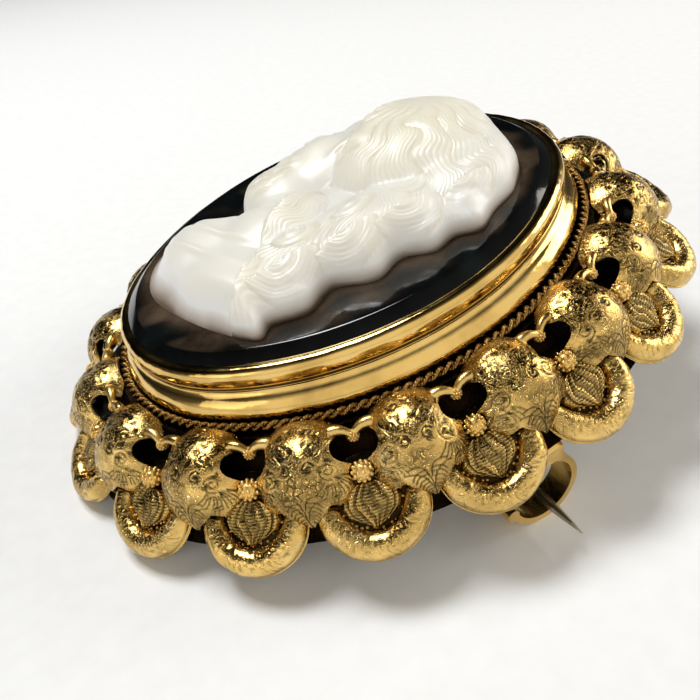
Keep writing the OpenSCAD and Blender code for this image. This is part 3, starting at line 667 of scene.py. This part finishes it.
bustMasses = [  # x, y, half length, half width, turn in degrees, height
    (9.0, 0.2, 9.2, 9.0, 10, 6.1), (9.4, -6.4, 7.8, 7.0, -20, 3.9), (3.4, 5.0, 8.6, 6.0, -8, 5.0),
    (-2.8, 4.6, 5.0, 4.8, 20, 4.7), (-6.0, -0.4, 6.6, 5.4, 0, 4.7), (-12.0, 3.2, 7.0, 7.4, 20, 4.2),
    (-12.4, -4.6, 6.2, 8.0, -15, 4.2), (0.0, -7.8, 8.4, 6.0, 0, 3.9), (-6.6, -6.8, 6.0, 5.6, 0, 3.8)]

bustFeatures = [  # x, y, half length, half width, turn in degrees, rise
    (7.5, 7.4, 0.75, 2.4, 12, 0.4), (6.0, 7.3, 1.0, 2.0, 8, -0.62), (5.9, 7.3, 0.62, 1.0, 0, 0.52),
    (6.4, 7.2, 0.17, 1.35, 10, 0.2), (5.4, 7.3, 0.15, 1.2, -4, 0.16), (5.9, 7.7, 0.25, 0.3, 0, -0.12),
    (4.1, 10.0, 2.4, 1.1, -30, 0.75), (2.9, 9.7, 0.55, 0.75, 0, 0.32), (2.4, 9.9, 0.25, 0.42, 0, -0.3),
    (1.6, 9.7, 0.4, 0.5, 0, -0.14), (1.1, 9.8, 0.5, 1.25, 8, 0.34), (0.1, 9.7, 0.5, 1.15, -6, 0.36),
    (0.58, 9.6, 0.13, 1.3, 0, -0.34), (2.6, 6.0, 2.4, 2.0, 0, 0.3), (-6.4, 3.6, 0.9, 3.4, 24, -0.7),
    (3.6, 2.6, 1.8, 0.9, 10, 0.45), (3.7, 2.5, 1.1, 0.42, 10, -0.5), (-10.8, 2.5, 0.5, 5.2, 22, 0.34),
    (-13.2, 1.5, 0.45, 6.2, 20, 0.34), (-15.6, -0.5, 0.5, 6.0, 8, 0.28), (7.1, -12.0, 1.5, 1.1, -14, 0.7)]

hairCurls = [  # x, y, reach, rise, how far it shows above its middle, way of winding
    (2.3, -9.5, 3.5, 0.85, 0.5, -1), (-3.0, -8.9, 3.4, 0.85, 0.6, 1), (-8.6, -8.1, 3.5, 0.8, 0.8, -1),
    (7.9, -9.8, 3.1, 0.6, 0.3, 1), (-5.9, -5.6, 2.5, 0.6, 1.6, 1), (-0.6, -5.9, 2.6, 0.55, 0.9, 1),
    (4.6, -6.6, 2.5, 0.45, 0.4, -1), (-10.8, -6.2, 2.0, 0.5, 1.2, 1), (-2.6, 8.4, 1.6, 0.35, 1.0, 1),
    (-4.4, 6.6, 1.7, 0.4, 1.0, -1), (-1.9, 5.9, 1.6, 0.35, 1.0, 1), (-4.6, 4.0, 1.6, 0.35, 1.0, 1)]

combed = {"whorl": (12.6, 1.8), "strands": 135, "locks": 9, "sway": 0.4, "swayLong": 4.4, "lockHigh": 0.26,
          "curlWave": 1.15, "curlWaveHigh": 0.09}

hairLine = [(-18, -9.5), (-13, -8.4), (-12, -7.0), (-9.5, -5.4), (-7.5, -2.6), (-5.0, -0.6), (-2.0, 0.4),
            (1, 1.0), (3.5, 1.8), (6.0, 2.8), (8.4, 4.6), (11, 6.2), (14, 7.4), (18, 8.4)]
beardEdge = (-3.2, 6.6, 4.0, 3.6, 24)  # x, y, half length, half width, turn in degrees
ribbonEdge = (7.1, -12.2, 1.9, 1.2, -14)


def curveThrough(rows, perRow):  # a closed smooth curve through the rows
    p = np.array(rows, float)
    t = np.arange(perRow)[None, :, None] / perRow
    a, b, c, d = (np.roll(p, k, 0)[:, None, :] for k in (1, 0, -1, -2))
    bend, twist = 2 * a - 5 * b + 4 * c - d, 3 * b - a - 3 * c + d
    return (0.5 * (2 * b + (c - a) * t + bend * t ** 2 + twist * t ** 3)).reshape(-1, 2)


def evenRun(points, places):  # points of an open line at the given shares of its length
    run = np.concatenate([[0], np.cumsum(np.linalg.norm(np.diff(points, axis=0), axis=1))])
    return np.stack([np.interp(places * run[-1], run, points[:, k]) for k in (0, 1)], 1)


def outlineDistance(points, outline):
    best = np.full(len(points), 1e9)
    a, b = outline, np.roll(outline, -1, 0)
    way = b - a
    size = (way ** 2).sum(1)
    for k in range(0, len(points), 2000):
        p = points[k:k + 2000, None, :]
        t = np.clip(((p - a[None]) * way[None]).sum(2) / size[None], 0, 1)
        best[k:k + 2000] = np.linalg.norm(p - a[None] - t[..., None] * way[None], axis=2).min(1)
    return best


def insideOutline(points, outline):
    a, b = outline, np.roll(outline, -1, 0)
    crossings = np.zeros(len(points), int)
    for k in range(len(a)):
        between = (a[k, 1] > points[:, 1]) != (b[k, 1] > points[:, 1])
        if between.any():
            at = a[k, 0] + (points[:, 1] - a[k, 1]) / (b[k, 1] - a[k, 1] + 1e-12) * (b[k, 0] - a[k, 0])
            crossings += between & (points[:, 0] < at)
    return crossings % 2 == 1


def turnedShare(p, row):  # a place in the frame of a rounded mass, where its edge lies at 1
    c, s = math.cos(math.radians(row[4])), math.sin(math.radians(row[4]))
    x, y = (p - np.array(row[:2])).T
    return np.hypot((x * c + y * s) / row[2], (y * c - x * s) / row[3])


def hairRelief(p, wall, s):  # strands combed out from the crown: height, and painted shade between strands and locks
    d = p - np.array(combed["whorl"])
    r, theta = np.hypot(d[:, 0], d[:, 1]), np.arctan2(d[:, 1], d[:, 0])
    sway = combed["sway"] * np.sin(2 * math.pi * r / combed["swayLong"] + 2.2 * waves(p, 9.0, 31))
    sway += 0.3 * waves(p, 3.0, 32)
    turned = theta + sway * smoothStep(r, 0.5, 4.0) / np.maximum(r, 1.5)
    lock = np.abs(np.cos(combed["locks"] * turned + 1.5 * waves(p, 8.0, 33))) ** 0.5
    lifts = [0.12 + combed["lockHigh"] * lock * smoothStep(r, 1.0, 5.0)]
    strands = [combed["strands"] * turned]
    for x, y, reach, rise, above, way in hairCurls:
        d = (p - np.array([x, y])) * np.array([1.0, 1.1])
        around = np.hypot(d[:, 0], d[:, 1])
        bend = 0.25 * waves(p, 3.4, int(10 * reach) + int(abs(7 * x)))
        u = around / reach
        angle = np.arctan2(d[:, 1], d[:, 0])
        wave = np.cos(2 * math.pi * (around + bend) / combed["curlWave"] + way * angle)
        mound = np.sqrt(np.clip(1 - u ** 2.6, 0, 1)) + combed["curlWaveHigh"] * wave
        kept = smoothStep(above + 0.4 * bend - d[:, 1], 0.0, 1.2)
        lifts.append(np.where(u < 1, rise * mound * kept, 0.0) - 0.3 * (1 - kept * (u < 1)))
        strands.append(2 * math.pi * (around + 0.6 * bend + wall) / s["strand"] + way * angle)
    lifts, strands = np.array(lifts), np.array(strands)
    order = np.sort(lifts, 0)
    margin = np.clip((order[-1] - order[-2]) / 0.16, 0, 1)
    best = lifts.argmax(0)
    phase = strands[best, np.arange(len(p))]
    groove, fine = 0.5 - 0.5 * np.cos(phase), 0.5 - 0.5 * np.cos(2 * phase + 0.9)
    outer = np.where(best == 0, smoothStep(r, 9.0, 14.0), 0.35)
    depth = (groove ** 1.8 * (1 - outer) + fine * outer) * (0.4 + 0.6 * margin)
    depth = depth * np.clip(0.65 + 0.5 * waves(p, 3.0, 44), 0.2, 1)
    depth = depth * np.where(best == 0, smoothStep(r, 1.5, 4.0), 1.0)
    # painted shade between strands and between locks
    between = np.clip(0.5 * depth + 0.5 * (1 - margin) + 0.35 * (1 - lock) * (best == 0), 0, 1)
    return order[-1] - 0.06 * (1 - margin) - depth * s["strandDepth"], between


def bustHeight(p, gap, s):
    masses = np.array([row[5] * np.sqrt(np.clip(1 - turnedShare(p, row) ** 2.3, 0, 1)) for row in bustMasses])
    body = np.maximum(2.2, np.log(np.exp(s["blend"] * masses).mean(0)) / s["blend"])
    detail = sum(row[5] * np.exp(-1.4 * turnedShare(p, row) ** 2) for row in bustFeatures)
    line = np.interp(p[:, 0], *np.array(hairLine).T)
    hair = smoothStep(line - p[:, 1] + 0.35 * waves(p, 2.6, 5), -0.1, 0.45)
    near = np.clip(gap / (s["edge"] + s["edgeMore"] * smoothStep(-p[:, 1], 2.0, 7.0) * hair), 0, 1)
    rounded = (1 - (1 - near) ** 2.4) ** (1 / 2.4)
    ribbon = np.exp(-1.2 * turnedShare(p, ribbonEdge) ** 4)
    hair = hair * (1 - 0.9 * ribbon)
    beard = smoothStep(1 + 0.12 * waves(p, 2.0, 8) - turnedShare(p, beardEdge), 0.0, 0.25)
    curls, between = hairRelief(p, s["wallStretch"] * (1 - rounded), s)
    high = body + detail + hair * (0.3 + curls) + (1 - hair) * beard * (0.05 + 0.7 * curls)
    high = high * s["top"] / s["tableTop"]
    hair = np.maximum(hair, beard)
    high = high - np.log1p(np.exp(6 * (high - s["top"]))) / 6
    cut = smoothStep(-p[:, 0], 10.0, 14.0) * (1 - hair)
    high = high * (1 - 0.42 * smoothStep(0.55 * p[:, 1] - 0.85 * p[:, 0], 12.0, 18.5) * cut)
    slant = gap / s["slope"] - np.log1p(np.exp(12 * (gap / s["slope"] - 1))) / 12
    rise = rounded * (1 - cut) + slant * cut
    edge = np.clip(gap / 0.5, 0, 1)
    return high * rise + hair * (curls + 0.3) * (1 - rise) * 0.45 * edge, hair * between * edge


def makeBust(s):
    outline = curveThrough(bustOutline, s["pointsPerRow"])
    corners = [k * s["pointsPerRow"] for k in outlineCorners]
    twice, ends = np.concatenate([outline, outline]), corners[1:] + corners[:1]
    sides = [twice[a:(b if b > a else b + len(outline)) + 1] for a, b in zip(corners, ends)]
    t = np.linspace(-1, 1, s["along"])
    u, v = 0.5 + 0.5 * np.sign(t) * np.abs(t) ** 0.82, np.linspace(0, 1, s["across"]) ** 1.4
    crown, far, hollow, near = (evenRun(run, places) for run, places in zip(sides, (v, u, v, u)))
    hollow, near = hollow[::-1], near[::-1]
    uu, vv = u[:, None, None], v[None, :, None]
    patch = (1 - vv) * near[:, None] + vv * far[:, None] + (1 - uu) * crown[None] + uu * hollow[None]
    patch -= (1 - uu) * ((1 - vv) * near[0] + vv * far[0]) + uu * ((1 - vv) * near[-1] + vv * far[-1])
    flat = patch.reshape(-1, 2)
    rim = gridRim(s["along"], s["across"])
    gap = outlineDistance(flat, outline)
    gap[rim] = 0
    height, between = bustHeight(flat, gap, s)
    points = np.column_stack([flat, s["base"] + height])
    faces = [list(f) for f in upwardFaces(points, s["along"], s["across"])] + [rim]
    attributes = {"high": np.clip(height / s["top"], 0, 1), "recessShade": between}
    mesh = makeMesh("cameoBust", lieDown(points), faces, attributes)
    makePiece("cameoBust", weld(mesh), whiteStone, "brooch", ["cameo_bust"])


makeBust(bustShape)
print("bust made")

# Stone: polished dark layer with a sloping edge, brown and cloudy where the white layer thins out
stoneShape = {"around": 300, "rings": 44, "top": 5.0, "low": 2.6, "haloWide": 0.8, "haloMore": 1.8}


def makeStone(s):
    outline = curveThrough(bustOutline, 6)
    turns = turnAt(np.arange(s["around"]) / s["around"], 0.0)
    inner = ovalSpot(turns, 0.0)[None] * (np.linspace(0, 1, s["rings"])[:-1] ** 0.8)[:, None, None]
    under, drop = inner[::-6] * 0.98, s["low"] - s["top"]
    steps = [(-0.12, 0.0), (-0.03, -0.005), (0.05, -0.04), (0.14, -0.1), (1.06, -0.62), (1.16, -0.72),
             (1.2, -0.82), (1.2, -1.6), (1.2, drop + 0.1), (1.1, drop)]  # out and up from the top's edge
    spread = np.concatenate([inner, np.stack([ovalSpot(turns, d) for d, z in steps]), under])
    highs = np.array([0.0] * len(inner) + [z for d, z in steps] + [drop] * len(under)) + s["top"]
    points = np.concatenate([spread, np.broadcast_to(highs[:, None, None], spread.shape[:2] + (1,))], 2)
    flat = points.reshape(-1, 3)
    far = outlineDistance(flat[:, :2], outline)
    cloud = smoothStep(waves(flat[:, :2], 7.0, 21), -0.1, 0.5)
    halo = np.exp(-(far / (s["haloWide"] + s["haloMore"] * cloud)) ** 2) * (flat[:, 2] > 4.9)
    halo = np.where(insideOutline(flat[:, :2], outline), 1.0, halo)
    faces = closedFaces(flat, gridFaces(len(points), s["around"]))
    mesh = makeMesh("stoneGround", lieDown(flat), faces, {"halo": halo})
    makePiece("stoneGround", weld(mesh), darkStone, "brooch", ["stone_ground"])


makeStone(stoneShape)
print("stone made")


def newTree(name, **inputs):  # an empty geometry tree with named inputs
    tree = bpy.data.node_groups.new(name, "GeometryNodeTree")
    for label, kind in [("Geometry", "Geometry"), ("Material", "Material")] + list(inputs.items()):
        tree.interface.new_socket(label, in_out="INPUT", socket_type="NodeSocket" + kind)
    tree.interface.new_socket("Geometry", in_out="OUTPUT", socket_type="NodeSocketGeometry")
    return tree, addNode(tree, "NodeGroupInput").outputs


def closeTree(tree, geometry, material):
    real = addNode(tree, "GeometryNodeRealizeInstances", {"Geometry": geometry})
    paint = addNode(tree, "GeometryNodeSetMaterial", {"Geometry": real.outputs[0], "Material": material})
    smooth = addNode(tree, "GeometryNodeSetShadeSmooth", {"Geometry": paint.outputs[0]})
    addNode(tree, "NodeGroupOutput", {"Geometry": smooth.outputs[0]})
    return tree


def growMesh(name, base, tree, values):  # runs a tree on a mesh and keeps the result as a plain mesh
    holder = newObject(name + "Base", base)
    modifier = holder.modifiers.new(tree.name, "NODES")
    modifier.node_group = tree
    for item in tree.interface.items_tree:
        if item.item_type == "SOCKET" and item.in_out == "INPUT" and item.name in values:
            modifier[item.identifier] = values[item.name]
    bpy.context.view_layer.update()
    grown = holder.evaluated_get(bpy.context.evaluated_depsgraph_get())
    mesh = bpy.data.meshes.new_from_object(grown)
    mesh.name = name
    holder.modifiers.clear()
    bpy.data.objects.remove(holder)
    return mesh


# Twisted wire round the collet: two strands laid together, each of two thin wires
ropeShape = {"ringOut": 3.6, "points": 1900, "turns": 76, "fineTurns": 300, "strand": 0.22, "wire": 0.11,
             "wireRadius": 0.115}


def ropeTree():
    tree, given = newTree("twistedWire", Turns="Float", FineTurns="Float", StrandOffset="Float",
                          WireOffset="Float", WireRadius="Float", Up="Vector")
    curve = addNode(tree, "GeometryNodeMeshToCurve", {0: given["Geometry"]}).outputs[0]
    along = addNode(tree, "GeometryNodeSplineParameter").outputs["Factor"]
    tangent = addNode(tree, "GeometryNodeInputTangent").outputs[0]
    cross = vectorMaths(tree, "CROSS_PRODUCT", {0: tangent, 1: given["Up"]})
    kept = addNode(tree, "GeometryNodeCaptureAttribute", {"domain": "POINT", 0: curve})
    kept.capture_items.new("FLOAT", "factor")
    kept.capture_items.new("VECTOR", "side")
    tree.links.new(along, kept.inputs["factor"])
    tree.links.new(vectorMaths(tree, "NORMALIZE", {0: cross}), kept.inputs["side"])
    curve = kept.outputs[0]
    for turns, offset in (("Turns", "StrandOffset"), ("FineTurns", "WireOffset")):
        twin = {"domain": "SPLINE", "Amount": 2, "Geometry": curve}
        copies = addNode(tree, "GeometryNodeDuplicateElements", twin)
        half = maths(tree, "MULTIPLY", copies.outputs["Duplicate Index"], math.pi)
        lap = maths(tree, "MULTIPLY", kept.outputs["factor"], given[turns])
        angle = maths(tree, "MULTIPLY_ADD", lap, 2 * math.pi, half)
        across = vectorMaths(tree, "SCALE", {0: kept.outputs["side"], "Scale": maths(tree, "COSINE", angle)})
        upward = vectorMaths(tree, "SCALE", {0: given["Up"], "Scale": maths(tree, "SINE", angle)})
        way = vectorMaths(tree, "ADD", {0: across, 1: upward})
        move = vectorMaths(tree, "SCALE", {0: way, "Scale": given[offset]})
        moved = {"Geometry": copies.outputs[0], "Offset": move}
        curve = addNode(tree, "GeometryNodeSetPosition", moved).outputs[0]
    section = {"Resolution": 6, "Radius": given["WireRadius"]}
    section = addNode(tree, "GeometryNodeCurvePrimitiveCircle", section).outputs[0]
    wire = addNode(tree, "GeometryNodeCurveToMesh", {"Curve": curve, "Profile Curve": section})
    return closeTree(tree, wire.outputs[0], given["Material"])


def makeRope(s):
    turns = turnAt(np.arange(s["points"]) / s["points"], s["ringOut"])
    path = lieDown(np.column_stack([ovalSpot(turns, s["ringOut"]), np.zeros(s["points"])]))
    base = bpy.data.meshes.new("ropePath")
    count = s["points"]
    base.from_pydata([tuple(p) for p in path], [(k, (k + 1) % count) for k in range(count)], [])
    values = {"Material": shadedTwistGold, "Turns": float(s["turns"]), "FineTurns": float(s["fineTurns"]),
              "StrandOffset": s["strand"] * 0.001, "WireOffset": s["wire"] * 0.001,
              "WireRadius": s["wireRadius"] * 0.001,
              "Up": (-math.sin(lying["tilt"]), 0.0, math.cos(lying["tilt"]))}
    mesh = growMesh("twistedRope", base, ropeTree(), values)
    makePiece("twistedRope", mesh, shadedTwistGold, "brooch", ["rope_edge"])


makeRope(ropeShape)
print("rope made")

# Granulation: tiny balls soldered on, over the beads and on the ground behind the shells
grainShape = {"bead": 0.74, "grain": 0.16, "cupAlong": -2.85, "cupUp": 0.9, "cupBead": 0.42,
              "groundGrain": 0.15, "groundGap": 0.34, "groundRings": (1.55, 2.45), "seed": 7}


def ball(tree, subdivisions, radius):
    settings = {"Subdivisions": subdivisions, "Radius": radius}
    return addNode(tree, "GeometryNodeMeshIcoSphere", settings).outputs[0]


def onPoints(tree, points, instance):
    return addNode(tree, "GeometryNodeInstanceOnPoints", {"Points": points, "Instance": instance}).outputs[0]


def beadTree():
    tree, given = newTree("granulatedBeads", BeadRadius="Float", GrainRadius="Float")
    studs = onPoints(tree, ball(tree, 2, given["BeadRadius"]), ball(tree, 2, given["GrainRadius"]))
    bead = addNode(tree, "GeometryNodeJoinGeometry", {0: studs})
    tree.links.new(ball(tree, 3, given["BeadRadius"]), bead.inputs[0])
    return closeTree(tree, onPoints(tree, given["Geometry"], bead.outputs[0]), given["Material"])


def groundTree():
    tree, given = newTree("grainedGround", GrainRadius="Float", Spacing="Float", Seed="Int")
    scatter = addNode(tree, "GeometryNodeDistributePointsOnFaces",
                      {"distribute_method": "POISSON", "Density Max": 2e7, "Mesh": given["Geometry"],
                       "Distance Min": given["Spacing"], "Seed": given["Seed"]})
    placed = onPoints(tree, scatter.outputs["Points"], ball(tree, 1, given["GrainRadius"]))
    return closeTree(tree, placed, given["Material"])


def makeGrains(s):
    beads, cups, areas, faces = [], [], [], []
    a = np.linspace(-1.9, 1.9, 24)
    for index in range(border["units"]):
        turn = unitTurn(index)
        beads.append(lieDown(onBorder(np.array([border["beadAlong"], 0, border["beadUp"]]), turn)))
        cups.append(lieDown(onBorder(np.array([s["cupAlong"], 0, s["cupUp"]]), turn)))
        for r in s["groundRings"]:
            ring = np.stack([border["scrollAlong"] + r * np.cos(a) * 1.02, r * np.sin(a),
                             np.full(24, border["scrollUp"] + 0.04)], 1)
            areas.append(lieDown(onBorder(ring, turn)))
        start = index * 48
        faces += [(start + k, start + 24 + k, start + 25 + k, start + k + 1) for k in range(23)]
    tree = beadTree()
    for name, places, bead, grain in (("grainedBeads", beads, s["bead"], s["grain"]),
                                      ("ropeGrains", cups, s["cupBead"], s["grain"] * 0.8)):
        base = bpy.data.meshes.new(name + "Places")
        base.from_pydata([tuple(p) for p in places], [], [])
        values = {"Material": grainGold, "BeadRadius": bead * 0.001, "GrainRadius": grain * 0.001}
        makePiece(name, growMesh(name, base, tree, values), grainGold, "brooch")
    ground = makeMesh("grainGround", np.concatenate(areas), faces)
    values = {"Material": grainGold, "GrainRadius": s["groundGrain"] * 0.001,
              "Spacing": s["groundGap"] * 0.001, "Seed": s["seed"]}
    mesh = growMesh("groundGrains", ground, groundTree(), values)
    makePiece("groundGrains", mesh, grainGold, "brooch")


makeGrains(grainShape)
print("grains made")

# Dome arms: tapering curls that close the domes' round bites and end in the grains by the rope
armShape = {"rootAlong": -3.5, "rootSide": 2.35, "rootSink": 0.35, "endAlong": -2.85, "endUp": 1.0,
            "wire": 0.52}


def roundWire(path, radius, sides=8):  # a closed tube along a short path, thinner towards its end
    path = np.asarray(path)
    way = np.gradient(path, axis=0)
    way /= np.linalg.norm(way, axis=1)[:, None]
    across = np.cross(way, np.array([0.2, 0.3, 1.0]))
    across /= np.linalg.norm(across, axis=1)[:, None]
    upward = np.cross(across, way)
    a = np.linspace(0, 2 * math.pi, sides, endpoint=False)
    size = radius * np.linspace(1.0, 0.55, len(path))[:, None, None]
    c, s = np.cos(a)[None, :, None], np.sin(a)[None, :, None]
    rings = path[:, None] + size * (c * across[:, None] + s * upward[:, None])
    rings = np.concatenate([np.repeat(path[:1, None], sides, 1), rings, np.repeat(path[-1:, None], sides, 1)])
    flat = rings.reshape(-1, 3)
    faces = closedFaces(flat, gridFaces(len(rings), sides))
    # slight painted shade over the arms
    return flat, faces, {"recessShade": np.full(len(flat), 0.15)}, flat[:, :2] * 0.001


def makeArms(s, dome):
    parts = []
    for index in range(border["units"]):
        turn = unitTurn(index)
        end = np.array([s["endAlong"], 0.0, s["endUp"]])
        for way in (-0.5, 0.5):
            x, y = s["rootAlong"], -s["rootSide"] * math.copysign(1, way)
            up = math.sqrt(dome["radius"] ** 2 - (x - dome["along"]) ** 2 - y ** 2)
            up -= dome["sink"] + s["rootSink"]
            root = onBorder(np.array([x, y, up]), unitTurn((index + way) % border["units"]))
            root = fromBorder(root, turn)
            bend = root * 0.45 + end * 0.55 + np.array([-0.55, 0.0, 0.25])
            t = np.linspace(0, 1, 12)[:, None]
            path = root * (1 - t) ** 2 + 2 * bend * t * (1 - t) + end * t ** 2
            points, faces, attributes, uv = roundWire(path, s["wire"])
            parts.append((onBorder(points, turn), faces, attributes, uv))
    points, faces, attributes, uv = joinParts(parts)
    mesh = weld(makeMesh("domeArms", lieDown(points), faces, attributes, uv))
    makePiece("domeArms", mesh, grainGold, "brooch")


makeArms(armShape, domeShape)
print("dome arms made")

# Stage: a white card under one window, with a pale room in front
stage = {"floorSize": 6.0, "floorLow": "#F4F4F3", "floorHigh": "#F8F8F7"}


def makeStage(s):
    mesh = bpy.data.meshes.new("floor")
    h = s["floorSize"] / 2
    mesh.from_pydata([(-h, -h, 0), (h, -h, 0), (h, h, 0), (-h, h, 0)], [], [(0, 1, 2, 3)])
    floor = newObject("floor", mesh)
    material, tree, place = newMaterial("floorCard")
    fibre = noiseAt(tree, place, 500.0, 3.0)
    colour = ramp(tree, fibre, [(0.3, s["floorLow"]), (0.7, s["floorHigh"])])
    finishMaterial(tree, {"Roughness": 0.6, "Specular IOR Level": 0.3}, colour)
    mesh.materials.append(material)


makeStage(stage)

lightTable = [  # name, place in mm, aim in mm, size in mm, power in watts, colour
    ("window", (-90, 240, 560), (0, 0, 0), (250, 190), 2.95, "#FAFCFF"),
    ("leftPanel", (-420, -60, 160), (0, 0, 5), (200, 200), 0.12, "#FFFDF8"),
    ("rightPanel", (420, -60, 200), (0, 0, 5), (240, 240), 0.8, "#FFFBF4"),
]


def makeLights(table):
    for name, place, aim, size, power, colour in table:
        data = bpy.data.lights.new(name, "AREA")
        data.shape = "RECTANGLE"
        data.size, data.size_y = size[0] * 0.001, size[1] * 0.001
        data.energy = power
        data.color = linearColour(colour)[:3]
        lamp = newObject(name, data)
        lamp.location = Vector(place) * 0.001
        lamp.rotation_euler = (Vector(aim) - Vector(place)).to_track_quat("-Z", "Y").to_euler()
    world = bpy.data.worlds.new("studio")
    world.use_nodes = True
    tree = world.node_tree
    tree.nodes.clear()
    way = addNode(tree, "ShaderNodeTexCoord").outputs["Generated"]
    facing = {"operation": "DOT_PRODUCT", 0: way, 1: (0.0, -0.9, -0.8)}
    level = addNode(tree, "ShaderNodeVectorMath", facing).outputs["Value"]
    spread = {"From Min": -1.2, "From Max": 0.9, "Value": level}
    share = addNode(tree, "ShaderNodeMapRange", spread).outputs[0]  # pale low down and in front
    room = ramp(tree, share, [(0.2, "#08080A"), (0.4, "#5E5B55"), (0.57, "#F5F0E5")])
    back = addNode(tree, "ShaderNodeBackground", {"Strength": 1.0, "Color": room})
    addNode(tree, "ShaderNodeOutputWorld", {"Surface": back.outputs[0]})
    bpy.context.scene.world = world
    bpy.context.scene.view_settings.view_transform = "Standard"


makeLights(lightTable)
print("stage and lights made")
